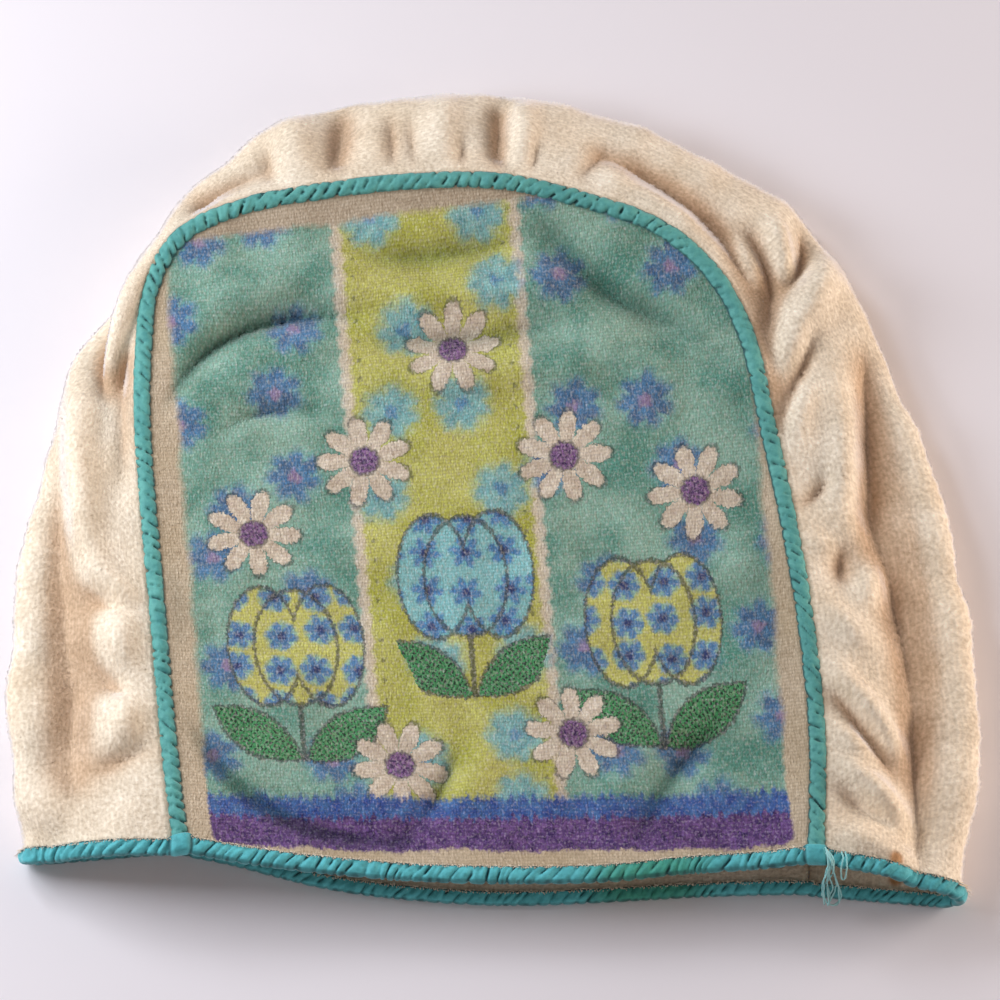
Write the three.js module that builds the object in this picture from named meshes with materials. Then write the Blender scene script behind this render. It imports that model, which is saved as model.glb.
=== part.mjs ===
// Terry toaster cover, lying empty on its back: an arched front panel, an arched back panel and
// one long gusset between them, with piping in the front seam and bias tape round the opening.
// Millimetres. X runs across the cover, Y from the opening to the top of the arch, Z is up.
// The cloth of each piece is worked out as a grid of points through its middle, then given
// its thickness along the grid's normals.
import * as THREE from 'three';

// ---------------------------------------------------------------- driving dimensions
const CLOTH = 3;               // terry, with the loops of both faces
const GAP = 0.4;               // between pieces that touch
const PIPING_RADIUS = 2.6;
const TAPE_WIDTH = 8;          // folded bias tape, from its lip to the rim of the opening
const TAPE_WALL = 1;
const SIDE_STEPS = 20;         // grid steps up each side of the arch, and again over its top
const TOP_STEPS = 8;           // steps from the front seam out to the gusset's fold
const UNDER_STEPS = 4;         // steps from the fold back under to the back seam
const ROLL_STEPS = 3;          // of those, the steps of the roll down to the table
const PANEL_SAG = 3.5;         // how far the empty front dips between its seams
const FOLD_FADE = 2.5;         // how soon a front fold grows inside the seams
const PUFF = 2.35;             // exponent of the gusset's rounded shoulder, 2 for an ellipse
const UNDER_ROLL = 9;          // how far the gusset takes to come down to the table
const TAPE_LIFT = TAPE_WALL + GAP;  // how much thicker tape over cloth is than cloth, a side

// Sections round the arch, from the left end of the opening over the top to the right end.
// seam: where the piping runs. fold: the cover's outline. back: the back seam, under the rest.
const SECTIONS = [
  { seamX: -110.5, seamY: 0, seamZ: 26, foldX: -170, foldY: 2, foldZ: 9, backX: -113, backY: 3 },
  { seamX: -114.5, seamY: 34, seamZ: 25, foldX: -171, foldY: 39, foldZ: 10, backX: -112, backY: 36 },
  { seamX: -119, seamY: 86, seamZ: 23, foldX: -169, foldY: 91, foldZ: 10, backX: -110, backY: 84 },
  { seamX: -123, seamY: 131, seamZ: 22, foldX: -163, foldY: 135, foldZ: 10, backX: -108, backY: 123 },
  { seamX: -125, seamY: 163, seamZ: 22, foldX: -153, foldY: 168, foldZ: 10, backX: -105, backY: 151 },
  { seamX: -124.5, seamY: 190, seamZ: 22, foldX: -144, foldY: 194, foldZ: 11, backX: -102, backY: 174 },
  { seamX: -122, seamY: 211, seamZ: 23, foldX: -133, foldY: 215, foldZ: 12, backX: -95, backY: 195 },
  { seamX: -111.5, seamY: 230, seamZ: 24, foldX: -117.5, foldY: 240, foldZ: 12, backX: -82, backY: 213 },
  { seamX: -90, seamY: 241, seamZ: 25, foldX: -97, foldY: 263, foldZ: 12, backX: -61, backY: 226 },
  { seamX: -59.5, seamY: 247, seamZ: 26, foldX: -66, foldY: 281, foldZ: 13, backX: -36, backY: 233 },
  { seamX: -27, seamY: 250, seamZ: 28, foldX: -30, foldY: 288, foldZ: 13, backX: -9, backY: 236 },
  { seamX: 3.5, seamY: 250, seamZ: 28, foldX: 6, foldY: 288, foldZ: 13, backX: 18, backY: 236 },
  { seamX: 34, seamY: 243, seamZ: 27, foldX: 45, foldY: 280, foldZ: 12, backX: 45, backY: 233 },
  { seamX: 61, seamY: 233, seamZ: 26, foldX: 76, foldY: 266, foldZ: 12, backX: 72, backY: 226 },
  { seamX: 80, seamY: 216, seamZ: 25, foldX: 110, foldY: 244, foldZ: 11, backX: 95, backY: 212 },
  { seamX: 92, seamY: 193, seamZ: 24, foldX: 136, foldY: 206, foldZ: 11, backX: 111, backY: 192 },
  { seamX: 100, seamY: 157, seamZ: 23, foldX: 152, foldY: 164, foldZ: 10, backX: 118, backY: 161 },
  { seamX: 107.5, seamY: 119, seamZ: 23, foldX: 163, foldY: 124, foldZ: 10, backX: 120, backY: 123 },
  { seamX: 113.5, seamY: 80, seamZ: 24, foldX: 170, foldY: 84, foldZ: 10, backX: 119, backY: 84 },
  { seamX: 117, seamY: 38, seamZ: 25, foldX: 174, foldY: 42, foldZ: 10, backX: 116, backY: 42 },
  { seamX: 116.5, seamY: -3, seamZ: 25, foldX: 169, foldY: -13, foldZ: 9, backX: 114, backY: -8 },
];
const LEFT_SHOULDER = 7;       // rows where the arch turns from a side to its top
const RIGHT_SHOULDER = 14;
const LAST_SECTION = SECTIONS.length - 1;

// The front panel's lower edge between the two seams: it sags and lies lower in the middle.
const FRONT_HEM = [
  { x: -83, y: -3, z: 22 },
  { x: -50, y: -6, z: 19 },
  { x: -16, y: -8, z: 18 },
  { x: 38, y: -8, z: 18 },
  { x: 72, y: -5, z: 19 },
  { x: 100, y: -4, z: 22 },
];

// The back panel's lower edge between its seams, flat on the table.
const BACK_HEM = [
  { x: -96, y: 1 },
  { x: -62, y: -5 },
  { x: -38, y: -9 },
  { x: 3, y: -12 },
  { x: 38, y: -11 },
  { x: 72, y: -9 },
  { x: 100, y: -8 },
];

// Creases of the front panel: a curved route on the table's plane, with its height and its reach.
const FRONT_FOLDS = [
  { name: 'upper left crease', startX: -112, startY: 168, bendX: -92, bendY: 200, endX: -50, endY: 200,
    height: -4.6, reach: 7 },
  { name: 'upper left puff', startX: -108, startY: 192, bendX: -92, bendY: 214, endX: -52, endY: 214,
    height: 5.1, reach: 12 },
  { name: 'lower left crease', startX: -104, startY: 42, bendX: -88, bendY: 4, endX: -32, endY: 0,
    height: -4.3, reach: 7 },
  { name: 'lower left puff', startX: -88, startY: 60, bendX: -70, bendY: 26, endX: -28, endY: 16,
    height: 4.3, reach: 12 },
  { name: 'lower right trough', startX: 80, startY: 46, bendX: 62, bendY: 26, endX: 52, endY: 2,
    height: -3.6, reach: 9 },
  { name: 'upper right trough', startX: 18, startY: 238, bendX: 40, bendY: 204, endX: 80, endY: 196,
    height: -3.6, reach: 9 },
  { name: 'upper ripple', startX: -50, startY: 214, bendX: -10, bendY: 204, endX: 28, endY: 212,
    height: 2.9, reach: 9 },
  { name: 'second ripple', startX: -52, startY: 186, bendX: -6, bendY: 178, endX: 40, endY: 184,
    height: 2.3, reach: 9 },
];

// Folds of the gusset. along counts the sections above; across is 0 at the front seam and 1 at
// the fold of the outline.
const GUSSET_FOLDS = [
  { name: 'left ridge', alongA: 6.5, acrossA: 0.85, alongB: 4.3, acrossB: 0.5, height: 5.1, reach: 6 },
  { name: 'left valley', alongA: 5.6, acrossA: 0.9, alongB: 4.2, acrossB: 0.78, height: -3.6, reach: 5 },
  { name: 'left trough', alongA: 2.9, acrossA: 0.72, alongB: 0.8, acrossB: 0.66, height: -3.2, reach: 8 },
  { name: 'left upper bump', alongA: 2.3, acrossA: 0.22, alongB: 1.9, acrossB: 0.25, height: 4.3, reach: 8 },
  { name: 'left lower bump', alongA: 1.5, acrossA: 0.2, alongB: 1.2, acrossB: 0.28, height: 4.3, reach: 8 },
  { name: 'top gather 1', alongA: 9.15, acrossA: 0.1, alongB: 9.2, acrossB: 0.75, height: -3.2, reach: 4.5 },
  { name: 'top gather 2', alongA: 9.8, acrossA: 0.1, alongB: 9.9, acrossB: 0.8, height: -3.8, reach: 4.5 },
  { name: 'top gather 3', alongA: 10.5, acrossA: 0.05, alongB: 10.5, acrossB: 0.7, height: -3.2, reach: 4.5 },
  { name: 'top gather 4', alongA: 11.2, acrossA: 0.1, alongB: 11.3, acrossB: 0.6, height: -2.9, reach: 5 },
  { name: 'seam trough', alongA: 12.4, acrossA: 0.32, alongB: 15, acrossB: 0.22, height: -4.9, reach: 6 },
  { name: 'right ridge', alongA: 14.4, acrossA: 0.62, alongB: 15.8, acrossB: 0.18, height: 4.6, reach: 7 },
  { name: 'right dent', alongA: 14.2, acrossA: 0.5, alongB: 14.9, acrossB: 0.46, height: -4.3, reach: 6 },
  { name: 'right trough', alongA: 16.3, acrossA: 0.74, alongB: 19.3, acrossB: 0.68, height: -4.3, reach: 8 },
  { name: 'wrinkle 1', alongA: 17.2, acrossA: 0.08, alongB: 17.9, acrossB: 0.55, height: 3.5, reach: 6 },
  { name: 'wrinkle 2', alongA: 18, acrossA: 0.08, alongB: 18.7, acrossB: 0.55, height: 3.5, reach: 6 },
  { name: 'wrinkle 3', alongA: 18.8, acrossA: 0.08, alongB: 19.4, acrossB: 0.5, height: 2.9, reach: 6 },
];

const terry = (color) => new THREE.MeshStandardMaterial({ color, roughness: 0.97, metalness: 0 });
const cotton = (color) => new THREE.MeshStandardMaterial({ color, roughness: 0.85, metalness: 0 });

const UP = new THREE.Vector3(0, 0, 1);
const OUT_OF_OPENING = new THREE.Vector3(0, -1, 0);
const ARCH_STEPS = 3 * SIDE_STEPS;

// ---------------------------------------------------------------- lines round the arch

const curveOf = (points) => new THREE.CatmullRomCurve3(points, false, 'centripetal');

const seamCurve = curveOf(SECTIONS.map((s) => new THREE.Vector3(s.seamX, s.seamY, s.seamZ)));
const foldCurve = curveOf(SECTIONS.map((s) => new THREE.Vector3(s.foldX, s.foldY, s.foldZ)));
const backCurve = curveOf(SECTIONS.map((s) => new THREE.Vector3(s.backX, s.backY, CLOTH / 2)));

// The place in SECTIONS, as a fraction of its rows, of one of the ARCH_STEPS steps: each side
// and the top have the same number of steps, so that the panels' grids have square corners.
function sectionAtStep(step) {
  const bends = [0, LEFT_SHOULDER, RIGHT_SHOULDER, LAST_SECTION];
  const side = Math.min(Math.floor(step / SIDE_STEPS), 2);
  const within = step / SIDE_STEPS - side;
  return THREE.MathUtils.lerp(bends[side], bends[side + 1], within) / LAST_SECTION;
}

// The sideways direction of the arch at a place, level and pointing away from the front panel.
function outwardAt(curve, place) {
  return new THREE.Vector3().crossVectors(UP, curve.getTangent(place)).setZ(0).normalize();
}

// The middle of the cloth where it folds, half a thickness inside the cover's outline.
function foldAt(place) {
  return foldCurve.getPoint(place).addScaledVector(outwardAt(foldCurve, place), -CLOTH / 2);
}

// ---------------------------------------------------------------- folds

const smooth = (reach, distance) => Math.exp(-((distance / reach) ** 2));

// The height that a fold adds at a point: full along the middle of its route, and soft at its ends.
function foldHeight(route, fold, point) {
  let height = 0;
  route.forEach((spot, index) => {
    const towardsEnd = Math.sin((Math.PI * (index + 0.5)) / route.length);
    const here = fold.height * Math.sqrt(towardsEnd) * smooth(fold.reach, spot.distanceTo(point));
    if (Math.abs(here) > Math.abs(height)) height = here;
  });
  return height;
}

const ROUTE_SPOTS = 16;

function frontRoute(fold) {
  const start = new THREE.Vector3(fold.startX, fold.startY, 0);
  const bend = new THREE.Vector3(fold.bendX, fold.bendY, 0);
  const end = new THREE.Vector3(fold.endX, fold.endY, 0);
  return new THREE.QuadraticBezierCurve3(start, bend, end).getPoints(ROUTE_SPOTS);
}

function gussetRoute(fold) {
  return Array.from({ length: ROUTE_SPOTS + 1 }, (_, index) => {
    const part = index / ROUTE_SPOTS;
    const along = THREE.MathUtils.lerp(fold.alongA, fold.alongB, part);
    const across = THREE.MathUtils.lerp(fold.acrossA, fold.acrossB, part);
    return gussetTop(along / LAST_SECTION, across);
  });
}

// ---------------------------------------------------------------- the gusset's section

// The gusset's edge beside the piping.
function gussetEdge(place) {
  const out = outwardAt(seamCurve, place);
  return seamCurve.getPoint(place).addScaledVector(out, PIPING_RADIUS + GAP);
}

// From the front seam out to the fold, across running 0 to 1 along a rounded shoulder.
function gussetTop(place, across) {
  const edge = gussetEdge(place);
  const fold = foldAt(place);
  const turn = (across * Math.PI) / 2;
  const out = Math.sin(turn) ** (2 / PUFF);
  const up = Math.cos(turn) ** (2 / PUFF);
  return new THREE.Vector3(
    THREE.MathUtils.lerp(edge.x, fold.x, out),
    THREE.MathUtils.lerp(edge.y, fold.y, out),
    THREE.MathUtils.lerp(fold.z, edge.z, up),
  );
}

// From the fold under to the back seam: a quarter turn down to the table, then flat.
function gussetUnder(place, step) {
  const fold = foldAt(place);
  const back = backCurve.getPoint(place);
  const inward = new THREE.Vector3().subVectors(back, fold).setZ(0);
  const reach = inward.length() - GAP / 2;
  inward.normalize();
  const roll = Math.min(step / ROLL_STEPS, 1) * (Math.PI / 2);
  const flat = Math.max(step - ROLL_STEPS, 0) / (UNDER_STEPS - ROLL_STEPS);
  const distance = UNDER_ROLL * (1 - Math.cos(roll)) + (reach - UNDER_ROLL) * flat;
  const height = CLOTH / 2 + (fold.z - CLOTH / 2) * (1 - Math.sin(roll));
  return fold.addScaledVector(inward, distance).setZ(height);
}

// Lifts the cloth's middle where the tape wraps it, so that the tape lies on the table.
const liftForTape = (point) => point.setZ(Math.max(point.z, CLOTH / 2 + TAPE_LIFT));

// ---------------------------------------------------------------- sheets

// Normals of a grid of points, on the side that `outside` picks for a right-handed grid.
function gridNormals(grid, outside) {
  const last = [grid.length - 1, grid[0].length - 1];
  return grid.map((column, i) => column.map((_, j) => {
    const before = grid[Math.max(i - 1, 0)][j];
    const after = grid[Math.min(i + 1, last[0])][j];
    const below = grid[i][Math.max(j - 1, 0)];
    const above = grid[i][Math.min(j + 1, last[1])];
    const along = new THREE.Vector3().subVectors(after, before);
    const across = new THREE.Vector3().subVectors(above, below);
    return along.cross(across).normalize().multiplyScalar(outside);
  }));
}

// A closed solid of the given thickness about a grid of points, with one normal for each point.
function sheetSolid(grid, normals, outside) {
  const columns = grid.length;
  const rows = grid[0].length;
  const positions = [];
  for (const side of [0.5, -0.5]) {
    for (let i = 0; i < columns; i += 1) {
      for (let j = 0; j < rows; j += 1) {
        const point = grid[i][j].clone().addScaledVector(normals[i][j], side * CLOTH);
        positions.push(point.x, point.y, Math.max(point.z, 0));
      }
    }
  }
  const at = (side, i, j) => (side * columns + i) * rows + j;
  const indices = [];
  const quad = (a, b, c, d) => {
    const corners = outside > 0 ? [a, b, c, a, c, d] : [a, c, b, a, d, c];
    indices.push(...corners);
  };
  for (let i = 0; i < columns - 1; i += 1) {
    for (let j = 0; j < rows - 1; j += 1) {
      quad(at(0, i, j), at(0, i + 1, j), at(0, i + 1, j + 1), at(0, i, j + 1));
      quad(at(1, i, j), at(1, i, j + 1), at(1, i + 1, j + 1), at(1, i + 1, j));
    }
  }
  for (let i = 0; i < columns - 1; i += 1) {
    quad(at(1, i, 0), at(1, i + 1, 0), at(0, i + 1, 0), at(0, i, 0));
    quad(at(0, i, rows - 1), at(0, i + 1, rows - 1), at(1, i + 1, rows - 1), at(1, i, rows - 1));
  }
  for (let j = 0; j < rows - 1; j += 1) {
    quad(at(0, 0, j), at(0, 0, j + 1), at(1, 0, j + 1), at(1, 0, j));
    quad(at(1, columns - 1, j), at(1, columns - 1, j + 1), at(0, columns - 1, j + 1), at(0, columns - 1, j));
  }
  return closedGeometry(positions, indices);
}

// A solid swept through rings of points: closed into a loop, or with a flat cap at each end.
function sweptSolid(rings, loop) {
  const sides = rings[0].length;
  const positions = rings.flat().flatMap((point) => [point.x, point.y, point.z]);
  const at = (ring, side) => (ring % rings.length) * sides + (side % sides);
  const indices = [];
  const last = loop ? rings.length : rings.length - 1;
  for (let ring = 0; ring < last; ring += 1) {
    for (let side = 0; side < sides; side += 1) {
      indices.push(at(ring, side), at(ring, side + 1), at(ring + 1, side + 1));
      indices.push(at(ring, side), at(ring + 1, side + 1), at(ring + 1, side));
    }
  }
  if (!loop) {
    for (let side = 1; side < sides - 1; side += 1) {
      indices.push(at(0, 0), at(0, side + 1), at(0, side));
      indices.push(at(last, 0), at(last, side), at(last, side + 1));
    }
  }
  return closedGeometry(positions, indices);
}

function closedGeometry(positions, indices) {
  const geometry = new THREE.BufferGeometry();
  geometry.setAttribute('position', new THREE.Float32BufferAttribute(positions, 3));
  geometry.setIndex(indices);
  geometry.computeVertexNormals();
  return geometry;
}

// ---------------------------------------------------------------- grids of the three cloths

// Fills a grid between a lower edge and the two sides and top of an arch (a Coons patch).
function archGrid(lower, left, top, right) {
  const steps = lower.length - 1;
  return lower.map((_, i) => left.map((__, j) => {
    const u = i / steps;
    const v = j / steps;
    const acrossSides = new THREE.Vector3().lerpVectors(left[j], right[j], u);
    const upTheArch = new THREE.Vector3().lerpVectors(lower[i], top[i], v);
    const corners = new THREE.Vector3().lerpVectors(lower[0], lower[steps], u)
      .lerp(new THREE.Vector3().lerpVectors(top[0], top[steps], u), v);
    return acrossSides.add(upTheArch).sub(corners);
  }));
}

// The inner edge of a panel, drawn in from its seam, split into left side, top and right side.
function archEdges(curve, drawnIn) {
  const edge = Array.from({ length: ARCH_STEPS + 1 }, (_, step) => {
    const place = sectionAtStep(step);
    return curve.getPoint(place).addScaledVector(outwardAt(curve, place), -drawnIn);
  });
  return {
    left: edge.slice(0, SIDE_STEPS + 1),
    top: edge.slice(SIDE_STEPS, 2 * SIDE_STEPS + 1),
    right: edge.slice(2 * SIDE_STEPS).reverse(),
  };
}

function lowerEdge(first, middle, last) {
  const points = [first, ...middle.map((p) => new THREE.Vector3(p.x, p.y, p.z ?? CLOTH / 2)), last];
  return curveOf(points).getSpacedPoints(SIDE_STEPS);
}

function frontGrid() {
  const { left, top, right } = archEdges(seamCurve, PIPING_RADIUS + GAP);
  const grid = archGrid(lowerEdge(left[0], FRONT_HEM, right[0]), left, top, right);
  const routes = FRONT_FOLDS.map(frontRoute);
  grid.forEach((column, i) => column.forEach((point, j) => {
    const inside = Math.sin((Math.PI * i) / SIDE_STEPS) * Math.sin((Math.PI * j) / SIDE_STEPS);
    const inPlan = point.clone().setZ(0);
    const folds = routes.reduce((sum, route, k) => sum + foldHeight(route, FRONT_FOLDS[k], inPlan), 0);
    point.z += folds * Math.min(1, FOLD_FADE * inside) - PANEL_SAG * Math.sqrt(inside);
  }));
  return grid;
}

function backGrid() {
  const { left, top, right } = archEdges(backCurve, GAP / 2);
  const grid = archGrid(lowerEdge(left[0], BACK_HEM, right[0]), left, top, right);
  grid.forEach((column) => liftForTape(column[0]));
  return grid;
}

function gussetGrid() {
  const base = Array.from({ length: ARCH_STEPS + 1 }, (_, step) => {
    const place = sectionAtStep(step);
    const top = Array.from({ length: TOP_STEPS + 1 }, (__, k) => gussetTop(place, k / TOP_STEPS));
    const under = Array.from({ length: UNDER_STEPS }, (__, k) => gussetUnder(place, k + 1));
    return [...top, ...under];
  });
  const routes = GUSSET_FOLDS.map(gussetRoute);
  const normals = gridNormals(base, 1);
  base.forEach((column, i) => column.forEach((point, j) => {
    if (j === 0 || j > TOP_STEPS) return;
    const folds = routes.reduce((sum, route, k) => sum + foldHeight(route, GUSSET_FOLDS[k], point), 0);
    point.addScaledVector(normals[i][j], folds);
  }));
  for (const end of [0, ARCH_STEPS]) base[end].forEach(liftForTape);
  return base;
}

// ---------------------------------------------------------------- the edge of the opening

// The line round the opening, where the tape's lip sits: front, right end, back and left end.
// Each stop has a point of one cloth's edge and the direction that faces out of the cover there.
function openingLine(front, back, gusset) {
  const frontEdge = front.map((column) => column[0]);
  const backEdge = back.map((column) => column[0]).reverse();
  const line = [...frontEdge, ...gusset[ARCH_STEPS], ...backEdge, ...gusset[0].toReversed()];
  return line.map((point, index) => {
    const before = line[(index + line.length - 1) % line.length];
    const after = line[(index + 1) % line.length];
    const along = new THREE.Vector3().subVectors(after, before).normalize();
    return { point, normal: new THREE.Vector3().crossVectors(OUT_OF_OPENING, along).normalize() };
  });
}

// The cloth's raw edge inside the tape, straight out of the opening from the lip.
function tucked(points) {
  const depth = TAPE_WIDTH - TAPE_WALL - GAP;
  return points.map((point) => point.clone().addScaledVector(OUT_OF_OPENING, depth));
}

// A panel from its grid. At the lip and inside the tape it keeps the line's normals, so that
// the tape is the same distance away all along.
function panelSolid(grid, outside, normalAt) {
  const normals = gridNormals(grid, outside);
  const lip = grid.map((column) => column[0]);
  tucked(lip).forEach((point, i) => {
    const normal = normalAt.get(lip[i]);
    normals[i][0] = normal;
    normals[i].unshift(normal);
    grid[i].unshift(point);
  });
  return sheetSolid(grid, normals, outside);
}

// The gusset from its grid, tucked into the tape at both of its ends.
function gussetSolid(grid, normalAt) {
  const normals = gridNormals(grid, 1);
  const ends = [grid[0], grid[ARCH_STEPS]];
  const endNormals = ends.map((points) => points.map((point) => normalAt.get(point)));
  normals[0] = endNormals[0];
  normals[ARCH_STEPS] = endNormals[1];
  const longGrid = [tucked(ends[0]), ...grid, tucked(ends[1])];
  const longNormals = [endNormals[0], ...normals, endNormals[1]];
  return sheetSolid(longGrid, longNormals, 1);
}

// ---------------------------------------------------------------- trims

// Bias tape folded over the raw edges: a U that holds the cloth, swept round the opening.
function tapeSolid(line) {
  const slot = CLOTH / 2 + GAP;
  const outer = slot + TAPE_WALL;
  const corner = outer / 3;
  const depth = TAPE_WIDTH - TAPE_WALL;
  const section = [
    [0, outer], [TAPE_WIDTH - corner, outer], [TAPE_WIDTH, outer - 1.5 * corner],
    [TAPE_WIDTH, 1.5 * corner - outer], [TAPE_WIDTH - corner, -outer], [0, -outer],
    [0, -slot], [depth, -slot], [depth, slot], [0, slot],
  ];
  const rings = line.map(({ point, normal }) => section.map(([outwards, sideways]) => (
    point.clone().addScaledVector(OUT_OF_OPENING, outwards).addScaledVector(normal, sideways)
  )));
  return sweptSolid(rings, true);
}

// Round piping along the front seam, ending just above the tape at both ends.
function pipingSolid() {
  const sides = 8;
  const rings = Array.from({ length: ARCH_STEPS + 1 }, (_, step) => {
    const place = sectionAtStep(step);
    const centre = seamCurve.getPoint(place);
    const out = outwardAt(seamCurve, place);
    const along = seamCurve.getTangent(place);
    const up = new THREE.Vector3().crossVectors(along, out).normalize();
    if (step === 0 || step === ARCH_STEPS) centre.y += GAP;
    return Array.from({ length: sides }, (__, side) => {
      const turn = (2 * Math.PI * (side + 0.5)) / sides;
      return centre.clone()
        .addScaledVector(out, PIPING_RADIUS * Math.cos(turn))
        .addScaledVector(up, PIPING_RADIUS * Math.sin(turn));
    });
  });
  return sweptSolid(rings, false);
}

// ---------------------------------------------------------------- assembly

function named(name, geometry, material) {
  const mesh = new THREE.Mesh(geometry, material);
  mesh.name = name;
  return mesh;
}

const front = frontGrid();
const back = backGrid();
const gusset = gussetGrid();
const line = openingLine(front, back, gusset);
const normalAt = new Map(line.map((stop) => [stop.point, stop.normal]));

const cover = new THREE.Group();
cover.add(
  named('front_panel', panelSolid(front, 1, normalAt), terry(0x6fae9c)),
  named('gusset', gussetSolid(gusset, normalAt), terry(0xe6d6bb)),
  named('back_panel', panelSolid(back, -1, normalAt), terry(0xe2d1b4)),
  named('front_piping', pipingSolid(), cotton(0x3ea79c)),
  named('hem_binding', tapeSolid(line), cotton(0x3aa39a)),
);

// The origin is under the middle of the cover, on the table.
const size = new THREE.Box3().setFromObject(cover);
const middle = size.getCenter(new THREE.Vector3());
cover.position.set(-middle.x, -middle.y, 0);

export default cover;
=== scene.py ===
"""A terry toaster cover, lying empty on its back with its printed front upwards.

The cover is an arched front panel, an arched back panel and one long gusset between them, with
piping in the front seam and bias tape round the opening. Each cloth is a thin sheet that follows
the folds in which it lies, with a pile of small loops as a piece of its own. The tables are in
millimetres on the table's plane, with X across the cover and Y from the opening to the top of
the arch, and the meshes are in metres in the frame's own place.
"""

import sys

import logging
import math
from dataclasses import dataclass, field, replace
from enum import Enum
from typing import Callable, NamedTuple

import bpy
import numpy as np
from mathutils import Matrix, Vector
from mathutils.bvhtree import BVHTree
from mathutils.kdtree import KDTree

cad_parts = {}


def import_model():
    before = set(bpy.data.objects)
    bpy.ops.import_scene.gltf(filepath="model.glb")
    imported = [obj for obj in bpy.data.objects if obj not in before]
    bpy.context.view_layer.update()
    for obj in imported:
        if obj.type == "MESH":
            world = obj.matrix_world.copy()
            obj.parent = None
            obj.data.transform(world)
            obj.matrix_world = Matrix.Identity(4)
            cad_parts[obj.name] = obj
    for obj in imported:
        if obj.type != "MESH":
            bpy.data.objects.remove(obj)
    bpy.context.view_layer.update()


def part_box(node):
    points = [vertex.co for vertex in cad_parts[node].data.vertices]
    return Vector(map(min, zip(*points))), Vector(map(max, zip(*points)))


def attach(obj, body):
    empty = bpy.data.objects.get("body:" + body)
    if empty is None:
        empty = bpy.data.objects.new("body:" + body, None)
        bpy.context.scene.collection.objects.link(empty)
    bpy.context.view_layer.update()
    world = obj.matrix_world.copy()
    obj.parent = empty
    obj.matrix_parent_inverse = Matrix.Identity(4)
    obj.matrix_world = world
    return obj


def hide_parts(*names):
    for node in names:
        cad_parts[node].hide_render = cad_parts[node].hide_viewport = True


LOG = logging.getLogger("toaster_cover")
Array = np.ndarray
Socket = bpy.types.NodeSocket

MM = 0.001
CLOTH = 3.0              # cloth with the loops of both faces, as the frame's solids have it
SHEET = 1.5              # the woven ground without its loops
GAP = 0.4                # between the frame's solids
PIPING_RADIUS = 2.6
TAPE_WALL = 1.0
TAPE_LIFT = TAPE_WALL + GAP    # how far the back panel's hem is lifted by the tape round it
TAPE_MIDDLE = 3.8        # how far outside the cloth's edge the tape's middle is
TUCK = 2.6               # how far the cloth goes on into the tape
PUFF = 2.35              # exponent of the gusset's rounded shoulder
UNDER_ROLL = 9.0         # how far the gusset takes to come down to the table
PANEL_SAG = 3.5          # how far the empty front dips between its seams
FOLD_GAIN = 1.36         # how much deeper the gusset's folds lie than the table's round numbers
FOLD_REACH = 0.92        # how much narrower they are than the table says
FOLD_FADE = 2.5          # how soon a front fold grows inside the seams
TROUGH_POWER = 0.72      # below 1, a trough's bottom is narrower than a ridge's top
HOLLOW_DEPTH = 5.5       # a fold as deep as this gets the full painted shade
BARE_AT_SEAM = 3.7       # nearer than this to the piping's middle the cloth has no loops
BARE_AT_TAPE = 2.6       # nearer than this to the tape's middle it has none
ANYWHERE = 1000.0        # farther than any point of the cloth
LOOP_STRAY = 0.34        # how far a loop may be off its row, as a share of the rows' distance
SEAM_SHADE = 0.6         # how strong the painted shade is on the cloth right beside the piping
ROW_PITCH = 1.25         # between two woven rows of loops
ROW_WANDER = 9.0         # how far the rows' wave is shifted by noise, in radians
GREEN_FADE = 1.15        # how much sooner green fades than red in a loop's painted shade and dark tone
BLUE_FADE = 1.35         # the same for blue, so that the painted shade is warm
LEFT_SHOULDER = 7        # the section where the arch's left side ends
RIGHT_SHOULDER = 14      # the section where its right side starts


# ---- tables


class Section(NamedTuple):
    """One station round the arch: the piping, the outline's fold and the back seam."""

    seam_x: float
    seam_y: float
    seam_z: float
    fold_x: float
    fold_y: float
    fold_z: float
    back_x: float
    back_y: float


SECTIONS = [
    Section(-110.5, 0, 26, -170, 2, 9, -113, 7),
    Section(-114.5, 34, 25, -171, 39, 10, -112, 36),
    Section(-119, 86, 23, -169, 91, 10, -110, 84),
    Section(-123, 131, 22, -163, 135, 10, -108, 123),
    Section(-125, 163, 22, -153, 168, 10, -105, 151),
    Section(-124.5, 190, 22, -144, 194, 11, -102, 174),
    Section(-122, 211, 23, -133, 215, 12, -95, 195),
    Section(-111.5, 230, 24, -117.5, 240, 12, -82, 213),
    Section(-90, 241, 25, -97, 263, 12, -61, 226),
    Section(-59.5, 247, 26, -66, 281, 13, -36, 233),
    Section(-27, 250, 28, -30, 288, 13, -9, 236),
    Section(3.5, 250, 28, 6, 288, 13, 18, 236),
    Section(34, 243, 27, 45, 280, 12, 45, 233),
    Section(61, 233, 26, 76, 266, 12, 72, 226),
    Section(80, 216, 25, 110, 244, 11, 95, 212),
    Section(92, 193, 24, 136, 206, 11, 111, 192),
    Section(100, 157, 23, 152, 164, 10, 118, 161),
    Section(107.5, 119, 23, 163, 124, 10, 120, 123),
    Section(113.5, 80, 24, 170, 84, 10, 119, 84),
    Section(117, 38, 25, 174, 42, 10, 116, 42),
    Section(116.5, -3, 25, 169, -13, 9, 114, -8),
]
LAST_SECTION = len(SECTIONS) - 1


class HemPoint(NamedTuple):
    """A point of a panel's lower edge."""

    x: float
    y: float
    z: float


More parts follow.
